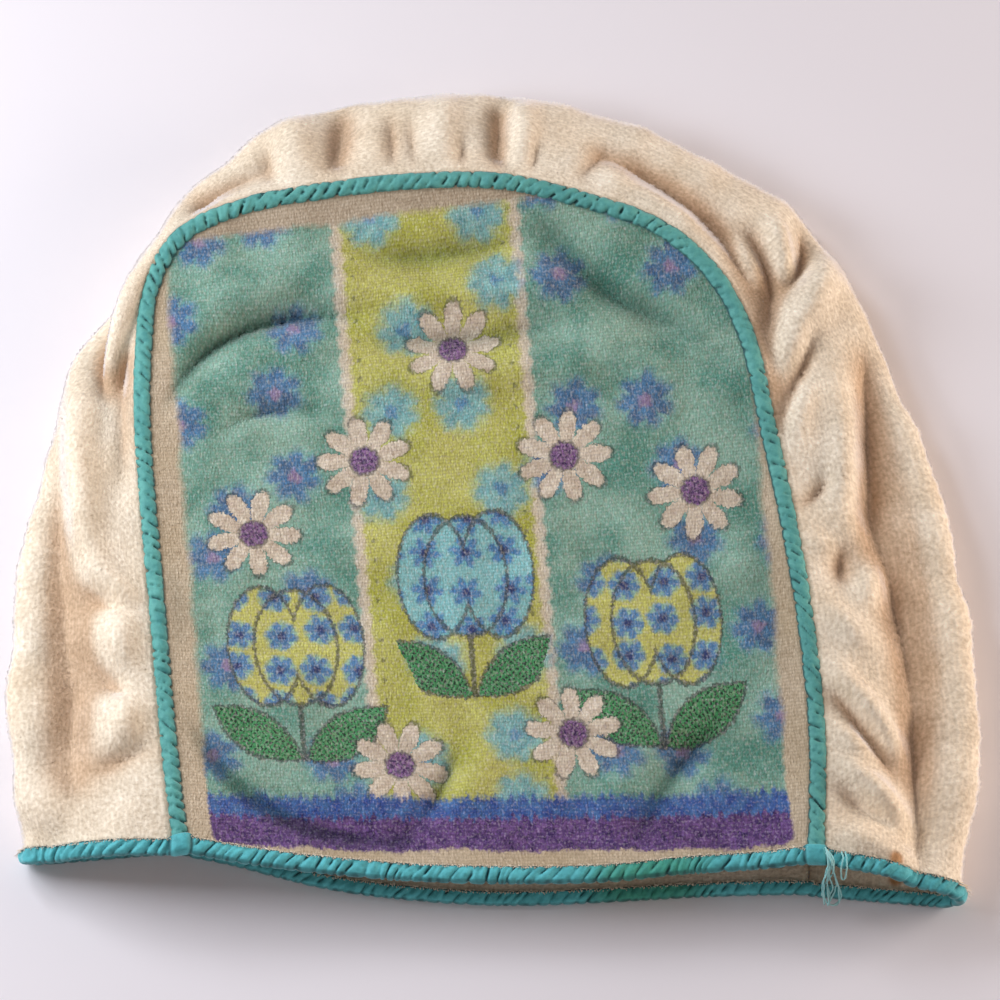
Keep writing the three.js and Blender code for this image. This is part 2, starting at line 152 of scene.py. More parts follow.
FRONT_HEM = [
    HemPoint(-83, -3, 22),
    HemPoint(-50, -6, 19),
    HemPoint(-16, -8, 18),
    HemPoint(38, -8, 18),
    HemPoint(72, -5, 19),
    HemPoint(100, -4, 22),
]
BACK_HEM = [
    HemPoint(-96, 4, CLOTH / 2),
    HemPoint(-62, -5, CLOTH / 2),
    HemPoint(-38, -9, CLOTH / 2),
    HemPoint(3, -12, CLOTH / 2),
    HemPoint(38, -11, CLOTH / 2),
    HemPoint(72, -9, CLOTH / 2),
    HemPoint(100, -8, CLOTH / 2),
]


class Fold(NamedTuple):
    """A fold along a bent route, with its height, below 0 for a trough, and its reach to each side.

    On the front a place is in millimetres on the table's plane. On the gusset it counts the
    sections along the arch, and then goes from 0 at the piping to 1 at the outline.
    """

    name: str
    start: tuple[float, float]
    bend: tuple[float, float]
    end: tuple[float, float]
    height: float
    reach: float

    def route(self) -> Array:
        """Points along the fold."""
        t = np.linspace(0, 1, 25)[:, None]
        a, b, c = (np.array(place, float) for place in (self.start, self.bend, self.end))
        return (1 - t) ** 2 * a + 2 * t * (1 - t) * b + t**2 * c


FRONT_CREASES = [
    Fold("upper left crease", (-117, 166), (-99, 208), (-48, 201), -7.6, 3.6),
    Fold("upper left puff", (-119, 180), (-100, 223), (-48, 214), 5.0, 9),
    Fold("under the upper left crease", (-112, 158), (-86, 194), (-48, 189), 1.6, 6),
    Fold("faint left crease", (-96, 158), (-80, 170), (-60, 165), -3.4, 3),
    Fold("lower left crease", (-107, 44), (-84, -1), (-30, 2), -8.0, 3.8),
    Fold("lower left puff", (-94, 54), (-70, 13), (-24, 12), 4.8, 9),
    Fold("lower middle trough", (-36, 0), (-20, 8), (-12, 36), -4.6, 4.6),
    Fold("lower middle ridge", (-26, 2), (-8, 12), (0, 34), 2.2, 6),
    Fold("lower right trough", (82, 46), (64, 28), (52, 2), -5.4, 5),
    Fold("lower right ridge", (68, 50), (48, 32), (38, 8), 2.4, 7),
    Fold("upper right trough", (18, 238), (36, 206), (80, 194), -5.0, 6.5),
    Fold("upper right ridge", (8, 226), (26, 190), (66, 178), 2.6, 8),
    Fold("corner ridge", (40, 230), (62, 216), (86, 196), 2.6, 6),
    Fold("upper dip", (-52, 223), (-20, 222), (16, 230), -4.0, 6),
    Fold("upper ripple", (-50, 210), (-10, 204), (28, 216), 4.0, 6),
    Fold("middle dip", (-48, 192), (-10, 190), (30, 200), -3.6, 5),
    Fold("second ripple", (-52, 178), (-6, 174), (40, 184), 3.4, 6),
    Fold("left waist", (-118, 108), (-108, 92), (-114, 70), -2.2, 6),
    Fold("right waist", (100, 120), (92, 96), (104, 66), -2.2, 7),
]


GUSSET_FOLDS = [
    Fold("left end pressed flat", (-0.25, 0.4), (0.2, 0.6), (-0.15, 0.86), -5.0, 11),
    Fold("left valley", (0.5, 0.42), (1.7, 0.34), (3.4, 0.72), -5.6, 9),
    Fold("left hollow", (0.9, 0.42), (1.5, 0.3), (2.2, 0.3), -3.0, 9),
    Fold("left outer roll", (0.6, 0.92), (2.2, 0.95), (3.9, 0.95), 2.6, 8),
    Fold("left ridge", (4.5, 0.6), (3.1, 0.36), (2.3, 0.24), 6.4, 6),
    Fold("left wrinkle", (2.35, 0.24), (2.2, 0.14), (2.12, 0.02), 4.0, 4.5),
    Fold("left wrinkle shade", (2.2, 0.3), (2.05, 0.2), (1.98, 0.04), -3.4, 4.5),
    Fold("left upper bump", (2.05, 0.1), (1.9, 0.12), (1.6, 0.1), 4.6, 8),
    Fold("left pit", (1.58, 0.24), (1.5, 0.18), (1.42, 0.1), -4.8, 4.5),
    Fold("left lower bump", (1.36, 0.1), (1.2, 0.12), (1.05, 0.1), 4.6, 8),
    Fold("left low shade", (0.3, 0.2), (0.6, 0.4), (1.0, 0.6), -1.8, 13),
    Fold("left lower dip", (1.0, 0.03), (0.92, 0.14), (0.76, 0.24), -3.8, 5),
    Fold("left pocket", (5.95, 0.6), (4.9, 0.62), (4.15, 0.34), -8.6, 5.5),
    Fold("left fringe", (6.1, 0.3), (5.3, 0.3), (4.6, 0.32), 6.6, 4.5),
    Fold("left fringe shade", (4.3, 0.14), (4.5, 0.1), (4.9, 0.05), -4.2, 5),
    Fold("left shoulder shade", (7.3, 0.2), (7.7, 0.26), (8.4, 0.2), -3.6, 5),
    Fold("left shoulder roll", (5.5, 0.92), (4.9, 0.95), (3.9, 0.9), 3.0, 6),
    Fold("left seam shade", (4.6, 0.06), (4.0, 0.05), (3.2, 0.06), -2.8, 5),
    Fold("shoulder dip", (7.6, 0.1), (7.5, 0.3), (7.4, 0.6), -2.4, 6),
    Fold("top gather 1", (8.45, 0.06), (8.45, 0.25), (8.5, 0.5), -2.6, 4),
    Fold("top swell", (8.8, 0.12), (8.8, 0.3), (8.8, 0.7), 3.4, 8),
    Fold("top gather 2", (9.15, 0.08), (9.25, 0.3), (9.35, 0.72), -6.0, 6.5),
    Fold("top gather 3", (9.78, 0.05), (9.8, 0.2), (9.8, 0.5), -3.2, 3.6),
    Fold("top gather 4", (10.02, 0.04), (10.0, 0.2), (10.0, 0.42), -2.4, 3),
    Fold("top ridge 1", (10.35, 0.1), (10.38, 0.3), (10.4, 0.6), 3.2, 6),
    Fold("top gather 5", (10.56, 0.02), (10.55, 0.1), (10.55, 0.22), -2.6, 3),
    Fold("top gather 6", (10.98, 0.02), (10.97, 0.25), (10.95, 0.62), -6.4, 5),
    Fold("top ridge 2", (11.25, 0.05), (11.22, 0.25), (11.18, 0.55), 3.4, 5.5),
    Fold("top gather 7", (11.36, 0.02), (11.35, 0.1), (11.34, 0.26), -2.4, 3),
    Fold("top branch", (11.9, 0.06), (11.95, 0.2), (12.05, 0.32), -2.6, 4),
    Fold("seam trough", (11.95, 0.32), (13.12, 0.24), (14.6, 0.04), -7.0, 5.5),
    Fold("seam flap", (12.3, 0.1), (13.1, 0.07), (13.8, 0.02), 2.6, 4),
    Fold("trough along the seam", (14.7, 0.05), (15.4, 0.01), (16.5, 0.0), -4.2, 6),
    Fold("second trough", (13.9, 0.32), (14.5, 0.22), (15.1, 0.02), -6.0, 4.6),
    Fold("ridge between", (13.85, 0.2), (14.05, 0.14), (14.4, 0.12), 3.0, 3.5),
    Fold("third trough", (14.2, 0.75), (14.5, 0.5), (14.66, 0.22), -5.2, 4.6),
    Fold("upper ridge", (14.05, 0.48), (14.26, 0.36), (14.5, 0.3), 4.2, 4),
    Fold("shoulder plateau", (14.5, 0.66), (14.8, 0.34), (15.4, 0.06), 5.0, 6.5),
    Fold("fourth trough", (15.05, 0.3), (15.5, 0.14), (15.9, 0.02), -4.4, 4),
    Fold("fourth ridge", (15.6, 0.16), (16.0, 0.05), (16.3, 0.02), 3.4, 4.4),
    Fold("short crease", (16.55, 0.15), (16.7, 0.08), (16.82, 0.01), -3.6, 3),
    Fold("long ridge", (15.7, 0.34), (16.4, 0.23), (17.05, 0.18), 4.0, 5.5),
    Fold("upper valley", (15.4, 0.62), (16.2, 0.42), (17.0, 0.3), -7.4, 8),
    Fold("middle valley", (16.8, 0.3), (17.9, 0.4), (19.0, 0.39), -7.2, 8),
    Fold("lower valley", (18.8, 0.38), (19.3, 0.41), (20.0, 0.48), -7.0, 7.5),
    Fold("valley's outer slope", (16.2, 0.62), (17.6, 0.6), (18.9, 0.62), -2.6, 9),
    Fold("right outer roll", (15.8, 0.9), (17.8, 0.86), (19.8, 0.86), 3.2, 8),
    Fold("patch", (17.25, 0.14), (17.4, 0.12), (17.55, 0.12), -4.6, 5),
    Fold("patch light", (17.45, 0.27), (17.6, 0.25), (17.75, 0.22), 2.6, 5),
    Fold("wrinkle 1", (17.1, 0.04), (17.25, 0.03), (17.2, 0.1), 2.6, 4),
    Fold("wrinkle 2", (17.75, 0.02), (18.0, 0.1), (18.2, 0.2), 2.2, 4.5),
    Fold("wrinkle 3", (18.3, 0.0), (18.67, 0.13), (19.1, 0.28), 4.4, 4.2),
    Fold("wrinkle 3 trough", (18.58, 0.02), (18.85, 0.1), (19.35, 0.28), -5.0, 4),
    Fold("wrinkle 4", (18.86, 0.01), (19.0, 0.07), (19.2, 0.15), 3.0, 3.5),
    Fold("wrinkle 5", (19.15, 0.02), (19.36, 0.1), (19.62, 0.32), 4.4, 4),
    Fold("wrinkle 5 trough", (19.44, 0.03), (19.6, 0.1), (19.72, 0.28), -4.4, 4),
    Fold("hem ridge", (19.86, 0.05), (19.92, 0.2), (19.95, 0.38), 3.0, 4),
]


# ---- curves


def unit(vectors: Array) -> Array:
    """The vectors at length one."""
    return vectors / np.maximum(np.linalg.norm(vectors, axis=-1, keepdims=True), 1e-9)


def lerp(a: Array, b: Array, part: Array | float) -> Array:
    """From a to b by a part of the way."""
    return a + (b - a) * part


class Curve:
    """A centripetal Catmull-Rom curve through points, which runs from 0 to 1."""

    def __init__(self, points: list[tuple[float, ...]]) -> None:
        """Keeps the points, with one more in line past each end.

        Args:
            points: the points that the curve passes through.
        """
        inner = np.array(points, float)
        self.knots = np.vstack([2 * inner[0] - inner[1], inner, 2 * inner[-1] - inner[-2]])
        self.gaps = np.linalg.norm(np.diff(self.knots, axis=0), axis=1) ** 0.5

    def at(self, places: Array) -> Array:
        """Points of the curve.

        Args:
            places: where they are, from 0 to 1.

        Returns:
            One point for each place.
        """
        spans = len(self.knots) - 3
        scaled = np.clip(places, 0, 1) * spans
        span = np.minimum(scaled.astype(int), spans - 1)
        t = (scaled - span)[..., None]
        p0, p1, p2, p3 = (self.knots[span + k] for k in range(4))
        g0, g1, g2 = (self.gaps[span + k][..., None] for k in range(3))
        leave = ((p1 - p0) / g0 - (p2 - p0) / (g0 + g1) + (p2 - p1) / g1) * g1
        arrive = ((p2 - p1) / g1 - (p3 - p1) / (g1 + g2) + (p3 - p2) / g2) * g1
        square = -3 * p1 + 3 * p2 - 2 * leave - arrive
        cube = 2 * p1 - 2 * p2 + leave + arrive
        return p1 + t * (leave + t * (square + t * cube))

    def tangent(self, places: Array) -> Array:
        """Directions of the curve at some places."""
        step = 1e-4
        return unit(self.at(np.clip(places + step, 0, 1)) - self.at(np.clip(places - step, 0, 1)))

    def outward(self, places: Array) -> Array:
        """Level directions away from the front panel at some places."""
        along = self.tangent(places)
        return unit(np.stack([-along[..., 1], along[..., 0], np.zeros(along.shape[:-1])], -1))

    def spaced(self, count: int) -> Array:
        """That many points at even distances along the curve."""
        return spread_evenly(self.at(np.linspace(0, 1, 1200)), count)


def lengths_along(line: Array) -> Array:
    """How far along a line of points each point is."""
    steps = np.linalg.norm(np.diff(line, axis=0), axis=1)
    return np.concatenate([[0], np.cumsum(steps)])


def spread_evenly(line: Array, count: int) -> Array:
    """That many points at even distances along a line of points."""
    far = lengths_along(line)
    wanted = np.linspace(0, far[-1], count)
    return np.stack([np.interp(wanted, far, line[:, k]) for k in range(line.shape[1])], -1)


def fold_height(route: Array, height: float, reach: float, points: Array) -> Array:
    """The height that one fold adds at points: full along its middle and soft at its ends.

    Args:
        route: points along the fold.
        height: how high it stands, or how deep it is if negative.
        reach: how far it reaches to each side.
        points: where the height is wanted.

    Returns:
        A height for each point.
    """
    spots = len(route)
    ends = np.sqrt(np.sin(np.pi * (np.arange(spots) + 0.5) / spots))
    power = TROUGH_POWER if height < 0 else 1.0
    best = np.zeros(points.shape[:-1])
    for spot, end in zip(route, ends):
        far = ((points - spot) ** 2).sum(-1) / reach**2
        best = np.maximum(best, end * np.exp(-far**power))
    return height * best


@dataclass(frozen=True)
class Ripples:
    """Soft uneven waves, the sum of level waves in seeded directions."""

    seed: int
    shortest: float
    longest: float
    waves: int = 14

    def at(self, points: Array) -> Array:
        """The wave's height, about -1 to 1, at points on a plane.

        Args:
            points: places on the plane.

        Returns:
            A height for each place.
        """
        rng = np.random.default_rng(self.seed)
        total = np.zeros(points.shape[:-1])
        for _ in range(self.waves):
            turn = rng.uniform(0, 2 * np.pi)
            size = rng.uniform(self.shortest, self.longest)
            shift = rng.uniform(0, 2 * np.pi)
            across = points[..., 0] * math.cos(turn) + points[..., 1] * math.sin(turn)
            total += np.sin(2 * np.pi * across / size + shift)
        return total / math.sqrt(self.waves) * 0.8


class Arch:
    """The three lines round the arch: the piping's seam, the outline's fold and the back seam."""

    def __init__(self) -> None:
        """Makes the lines from the sections."""
        self.seam = Curve([(s.seam_x, s.seam_y, s.seam_z) for s in SECTIONS])
        self.fold = Curve([(s.fold_x, s.fold_y, s.fold_z) for s in SECTIONS])
        self.back = Curve([(s.back_x, s.back_y, CLOTH / 2) for s in SECTIONS])

    @staticmethod
    def places(parts: Array) -> Array:
        """Places on the lines, where a third of the parts goes to each side and to the top."""
        bends = [0, LEFT_SHOULDER, RIGHT_SHOULDER, LAST_SECTION]
        return np.interp(parts * 3, [0, 1, 2, 3], bends) / LAST_SECTION

    def fold_middle(self, places: Array) -> Array:
        """The middle of the cloth where it folds, half a thickness inside the outline."""
        return self.fold.at(places) - self.fold.outward(places) * CLOTH / 2

    def gusset_top(self, places: Array, across: Array, tuck: float = 0.0) -> Array:
        """The gusset from the piping out to its fold, along a rounded shoulder.

        Args:
            places: places along the arch.
            across: 0 beside the piping to 1 at the fold.
            tuck: how much nearer the piping's middle the cloth starts than the frame's solid.

        Returns:
            One point for each pair.
        """
        edge = self.seam.at(places) + self.seam.outward(places) * (PIPING_RADIUS + GAP - tuck)
        fold = self.fold_middle(places)
        turn = across * np.pi / 2
        out = np.sin(turn) ** (2 / PUFF)
        up = np.maximum(np.cos(turn), 0) ** (2 / PUFF)
        level = lerp(edge, fold, out[..., None])
        level[..., 2] = lerp(fold[..., 2], edge[..., 2], up)
        return level

    def gusset_under(self, places: Array, part: Array) -> Array:
        """The gusset from its fold under to the back seam.

        Args:
            places: places along the arch.
            part: 0 to 1 is the quarter turn down to the table, 1 to 2 the flat way in.

        Returns:
            One point for each pair.
        """
        fold = self.fold_middle(places)
        inward = self.back.at(places) - fold
        inward[..., 2] = 0
        reach = np.linalg.norm(inward, axis=-1) - GAP / 2
        roll = np.minimum(part, 1) * np.pi / 2
        flat = np.maximum(part - 1, 0)
        distance = UNDER_ROLL * (1 - np.cos(roll)) + (reach - UNDER_ROLL) * flat
        point = fold + unit(inward) * distance[..., None]
        point[..., 2] = CLOTH / 2 + (fold[..., 2] - CLOTH / 2) * (1 - np.sin(roll))
        return point


# ---- cloth


def distances(points: Array, line: Array) -> Array:
    """How far each point is from the nearest point of a line.

    Args:
        points: the points.
        line: points along the line.

    Returns:
        A distance for each point.
    """
    tree = KDTree(len(line))
    for number, point in enumerate(line):
        tree.insert(point, number)
    tree.balance()
    return np.array([tree.find(point)[2] for point in points])


@dataclass
class Spots:
    """Places on a cloth where loops stand."""

    points: Array
    normals: Array
    warps: Array
    flat: Array
    hollow: Array

    def between(self, line: Array, nearest: float, farthest: float) -> "Spots":
        """The places whose distance from a line of points is between two limits."""
        far = distances(self.points, line)
        kept = (far > nearest) & (far < farthest)
        return Spots(*(values[kept] for values in vars(self).values()))


@dataclass
class ClothGrid:
    """The middle of one cloth, as a grid of points with their places on the flat cut cloth."""

    points: Array            # columns, rows, 3
    flat: Array              # columns, rows, 2
    outside: float           # 1 if columns, rows and the outer face are right-handed, else -1
    hollow: Array | None = None    # columns, rows: painted shade, 0 on the cloth's level to 1 deep in a fold

    def normals(self) -> Array:
        """The outward normal at each point of the grid."""
        along = np.gradient(self.points, axis=0)
        across = np.gradient(self.points, axis=1)
        return unit(np.cross(along, across)) * self.outside

    def area(self) -> float:
        """The cloth's area as it lies, in square metres."""
        a = self.points[1:, 1:] - self.points[:-1, :-1]
        b = self.points[:-1, 1:] - self.points[1:, :-1]
        return float(np.linalg.norm(np.cross(a, b), axis=-1).sum() / 2) * MM * MM

    def cut_size(self) -> Array:
        """Width and length of the flat cloth, in millimetres."""
        return self.flat.reshape(-1, 2).max(0) - self.flat.reshape(-1, 2).min(0)

    def moved(self, place: Array) -> "ClothGrid":
        """The same cloth with a place taken off its points."""
        return replace(self, points=self.points - place)

    def turned(self) -> "ClothGrid":
        """The same cloth with its inner face outwards."""
        return replace(self, outside=-self.outside)

    def shaded_beside(self, line: Array, start: float, reach: float) -> "ClothGrid":
        """The same cloth with the shade of a hollow in a strip beside a line."""
        far = distances(self.points.reshape(-1, 3), line).reshape(self.points.shape[:2])
        past = np.clip(far - start, 0, None)
        return replace(self, hollow=np.maximum(self.hollows(), SEAM_SHADE * np.exp(-((past / reach) ** 2))))

    def hollows(self) -> Array:
        """How deep in a fold each point of the grid is, from 0 to 1."""
        return np.zeros(self.points.shape[:2]) if self.hollow is None else self.hollow

    def share(self, flat: Array) -> Array:
        """Flat places as shares of the cut's width and length, from 0 to 1."""
        return (flat - self.flat.reshape(-1, 2).min(0)) / self.cut_size()

    def spots(self, pitch: tuple[float, float], stray: float, rng: np.random.Generator) -> Spots:
        """Places in rows over the whole cloth, each a little off its row.

        Args:
            pitch: the distances between places across and along the cloth.
            stray: how far a place may be off, as a share of the pitch.
            rng: the source of the small differences.

        Returns:
            The places that lie on the cloth.
        """
        low = self.flat.reshape(-1, 2).min(0)
        counts = np.maximum((self.cut_size() / pitch).astype(int), 1)
        places = np.stack(np.meshgrid(*(np.arange(c) + 0.5 for c in counts), indexing="ij"), -1)
        places = places.reshape(-1, 2) + rng.uniform(-stray, stray, (counts.prod(), 2))
        wanted = low + places * pitch
        columns, rows = self.flat.shape[:2]
        triangles = grid_triangles(columns, rows)
        corners = self.flat.reshape(-1, 2)
        tree = BVHTree.FromPolygons([(x, y, 0.0) for x, y in corners], triangles.tolist())
        down = Vector((0, 0, -1))
        hits = [tree.ray_cast(Vector((x, y, 1.0)), down)[2] for x, y in wanted]
        found = np.array([-1 if hit is None else hit for hit in hits])
        wanted, found = wanted[found >= 0], found[found >= 0]
        chosen = triangles[found]
        shares = corner_shares(corners[chosen], wanted)[..., None]
        points, normals, warps, hollow = (
            (values.reshape(columns * rows, -1)[chosen] * shares).sum(1)
            for values in (self.points, self.normals(), self.warps(), self.hollows())
        )
        return Spots(points, unit(normals), unit(warps), wanted, hollow[:, 0])

    def warps(self) -> Array:
        """The direction of the flat cloth's length at each point of the grid."""
        along, across = np.gradient(self.points, axis=0), np.gradient(self.points, axis=1)
        flat_along, flat_across = np.gradient(self.flat, axis=0), np.gradient(self.flat, axis=1)
        turn = not_zero(turned_area(flat_along, flat_across), 1e-6)
        return unit((flat_along[..., :1] * across - flat_across[..., :1] * along) / turn[..., None])


def turned_area(a: Array, b: Array) -> Array:
    """The signed area between level vectors, above 0 where b is to the left of a."""
    return a[..., 0] * b[..., 1] - a[..., 1] * b[..., 0]


def not_zero(values: Array, least: float) -> Array:
    """The values, with a least one in place of those that are nearly zero."""
    return np.where(np.abs(values) < least, least, values)


def grid_quads(columns: int, rows: int) -> Array:
    """The four-sided faces of a grid, as rows of four point numbers."""
    i, j = np.meshgrid(np.arange(columns - 1), np.arange(rows - 1), indexing="ij")
    a = (i * rows + j).ravel()
    return np.stack([a, a + rows, a + rows + 1, a + 1], -1)


def grid_triangles(columns: int, rows: int) -> Array:
    """The triangles of a grid, as rows of three point numbers."""
    quads = grid_quads(columns, rows)
    return np.concatenate([quads[:, [0, 1, 2]], quads[:, [0, 2, 3]]])


def corner_shares(triangles: Array, points: Array) -> Array:
    """How much of each of a triangle's three corners makes up a point in it.

    Args:
        triangles: three level corners for each point.
        points: the points.

    Returns:
        Three shares for each point.
    """
    a, b, c = triangles[:, 0], triangles[:, 1], triangles[:, 2]
    ab, ac, ap = b - a, c - a, points - a
    whole = not_zero(turned_area(ab, ac), 1e-9)
    second, third = turned_area(ap, ac) / whole, turned_area(ab, ap) / whole
    shares = np.clip(np.stack([1 - second - third, second, third], -1), 0, 1)
    return shares / shares.sum(-1, keepdims=True)


# ---- meshes


def mesh_piece(name: str, points: Array, faces: list, maps: dict[str, Array]) -> bpy.types.Object:
    """A smooth piece from points in millimetres in the frame's place.

    Args:
        name: the piece's name.
        points: its points.
        faces: its faces, as rows of point numbers.
        maps: a UV for each corner of each face, by the name of its map.

    Returns:
        The new object.
    """
    mesh = bpy.data.meshes.new(name)
    mesh.from_pydata((points * MM).tolist(), [], faces)
    for title, corners in maps.items():
        layer = mesh.uv_layers.new(name=title)
        layer.data.foreach_set("uv", np.ascontiguousarray(corners, np.float32).ravel())
    mesh.polygons.foreach_set("use_smooth", np.ones(len(mesh.polygons), bool))
    mesh.update()
    piece = bpy.data.objects.new(name, mesh)
    bpy.context.scene.collection.objects.link(piece)
    return piece


FLAT_MAP = "flat"        # where a corner lies on the cut cloth, as a share of its size
BAKE_MAP = "OFBake"      # the same for loops, and both faces side by side for a sheet
FACE_SHARE = 0.49        # how much of the bake map's width each face of a sheet takes
RIM_START = 0.994        # where the strip for a sheet's rim starts
HOLLOW = "hollow"        # how strong the painted shade is at a point, from 0 in the open to 1 deep in a fold
UP_THE_LOOP = "up_the_loop"    # 0 at a loop's root to 1 at its tip
SHEET_FLOOR = 0.1        # a sheet lies at least this high over the table
LOOP_FLOOR = 0.02        # and a loop this high


def sheet_piece(name: str, cloth: ClothGrid, thickness: float) -> bpy.types.Object:
    """One cloth as a thin closed sheet.

    Args:
        name: the piece's name.
        cloth: the cloth's middle.
        thickness: the sheet's thickness.

    Returns:
        The sheet, with its flat map and its bake map.
    """
    columns, rows = cloth.points.shape[:2]
    half = cloth.normals() * thickness / 2
    points = np.concatenate([(cloth.points + half).reshape(-1, 3), (cloth.points - half).reshape(-1, 3)])
    points[:, 2] = np.maximum(points[:, 2], SHEET_FLOOR)
    quads = grid_quads(columns, rows)
    count = columns * rows
    number = np.arange(count).reshape(columns, rows)
    rim = np.concatenate([number[:, 0], number[-1, 1:], number[-2::-1, -1], number[0, -2:0:-1]])
    after = np.roll(rim, -1)
    band = np.stack([after, rim, rim + count, after + count], -1)
    if cloth.outside < 0:
        quads, band = quads[:, ::-1], band[:, ::-1]
    faces = np.concatenate([quads, quads[:, ::-1] + count, band])
    flat = np.tile(cloth.share(cloth.flat).reshape(-1, 2), (2, 1))[faces]
    bake = flat * (FACE_SHARE, 1)
    bake[len(quads):2 * len(quads), :, 0] += 0.5
    steps = np.arange(len(rim)) / len(rim)
    ahead = steps + 1 / len(rim)
    bake[2 * len(quads):, :, 0] = (RIM_START, RIM_START, 1, 1)
    bake[2 * len(quads):, :, 1] = np.stack([ahead, steps, steps, ahead], -1)
    piece = mesh_piece(name, points, faces.tolist(), {FLAT_MAP: flat, BAKE_MAP: bake})
    write_values(piece, HOLLOW, np.tile(cloth.hollows().ravel(), 2))
    return piece


def write_values(piece: bpy.types.Object, title: str, values: Array) -> None:
    """Gives each point of a piece a value, for its material to read."""
    layer = piece.data.attributes.new(title, "FLOAT", "POINT")
    layer.data.foreach_set("value", values.astype(np.float32).ravel())


@dataclass(frozen=True)
class Loops:
    """The size and stance of the loops of one pile, in millimetres."""

    pitch: tuple[float, float]
    half_width: float
    half_length: float
    height: float
    lean: float
    sides: int = 4
    stragglers: float = 0.0  # the share of longer and thinner loops at the outline
    rim_growth: float = 0.6  # how much longer the loops stand at the outline
    inner: bool = False      # on the cloth's inner face
    within: float = ANYWHERE    # only as far as this from the opening's edge
    sunk: float = 0.4        # how deep a loop's root is inside the sheet's face
    softness: float = 0.75   # how far a loop is shaded as part of the cloth


SIDE_LEAN = 0.7          # how much less a loop leans to its side than along its row
FLATTENED = 0.7          # a straggler's width, and a loop's spread on its map, as a share of its own
STRAGGLER_HEIGHT = 2.2
NOT_STEEP = 0.8          # a face whose normal rises this much isn't at the outline at all


def pile_piece(name: str, cloth: ClothGrid, spots: Spots, loops: Loops, seed: int) -> bpy.types.Object:
    """A pile of small leaning loops, joined into one piece.

    Args:
        name: the piece's name.
        cloth: the cloth that the loops stand on.
        spots: where they stand.
        loops: their size and stance.
        seed: the seed of their small differences.

    Returns:
        The pile, with its flat map and how far up its loop each point is.
    """
    rng = np.random.default_rng(seed)
    count, sides = len(spots.points), loops.sides
    side = unit(np.cross(spots.warps, spots.normals))
    size = rng.uniform(0.85, 1.2, (count, 1))
    lean = spots.warps * rng.normal(0, loops.lean, (count, 1))
    lean += side * rng.normal(0, loops.lean * SIDE_LEAN, (count, 1))
    turns = np.arange(sides) * 2 * np.pi / sides + rng.uniform(0, np.pi, (count, 1))
    reach = np.stack([np.cos(turns) * loops.half_width, np.sin(turns) * loops.half_length], -1)
    reach *= size[..., None]
    spread = reach[..., :1] * side[:, None] + reach[..., 1:] * spots.warps[:, None]
    root = spots.points + spots.normals * (SHEET / 2 - loops.sunk)
    steep = 1 - np.clip(np.abs(spots.normals[:, 2:]) / NOT_STEEP, 0, 1)
    long = rng.random((count, 1)) < loops.stragglers * steep
    growth = rng.uniform(0.7, 1.3, (count, 1))
    growth *= np.where(long, STRAGGLER_HEIGHT, 1 + steep * loops.rim_growth)
    spread *= np.where(long, FLATTENED, 1.0)[..., None]
    tall = spots.normals * (loops.height + loops.sunk) * growth
    points = np.concatenate([root[:, None] + spread, (root + tall + lean)[:, None]], 1).reshape(-1, 3)
    points[:, 2] = np.maximum(points[:, 2], LOOP_FLOOR)
    flat = np.concatenate([spots.flat[:, None] + reach * FLATTENED, spots.flat[:, None]], 1)
    fan = np.array([[k, (k + 1) % sides, sides] for k in range(sides)])
    faces = (fan + (sides + 1) * np.arange(count)[:, None, None]).reshape(-1, 3)
    corners = cloth.share(flat)[:, fan].reshape(-1, 2)
    piece = mesh_piece(name, points, faces.tolist(), {FLAT_MAP: corners, BAKE_MAP: corners})
    write_values(piece, UP_THE_LOOP, np.tile(np.arange(sides + 1) == sides, count))
    write_values(piece, HOLLOW, np.repeat(spots.hollow, sides + 1))
    cloth_side = np.repeat(spots.normals[:, None], sides, 1)
    shaded = unit(lerp(unit(spread), cloth_side, loops.softness))
    shaded = np.concatenate([shaded, spots.normals[:, None]], 1).reshape(-1, 3)
    piece.data.normals_split_custom_set_from_vertices(shaded.tolist())
    return piece


def rings_round(line: Array, out: Array, up: Array, outwards: Array, upwards: Array) -> Array:
    """A ring of points round each point of a line, from how far out and up each of them is."""
    return line[:, None] + out[:, None] * outwards[..., None] + up[:, None] * upwards[..., None]


ROUND_SHARE = 0.98       # how much of a sweep's map goes round it, with the caps beyond
CAP_RADIUS = 0.008       # of a cap on the map
CAP_AT = (0.01, 0.99)    # where the first cap is on it
CAP_STEP = (0.03, 0.0)   # and how far on the other one is


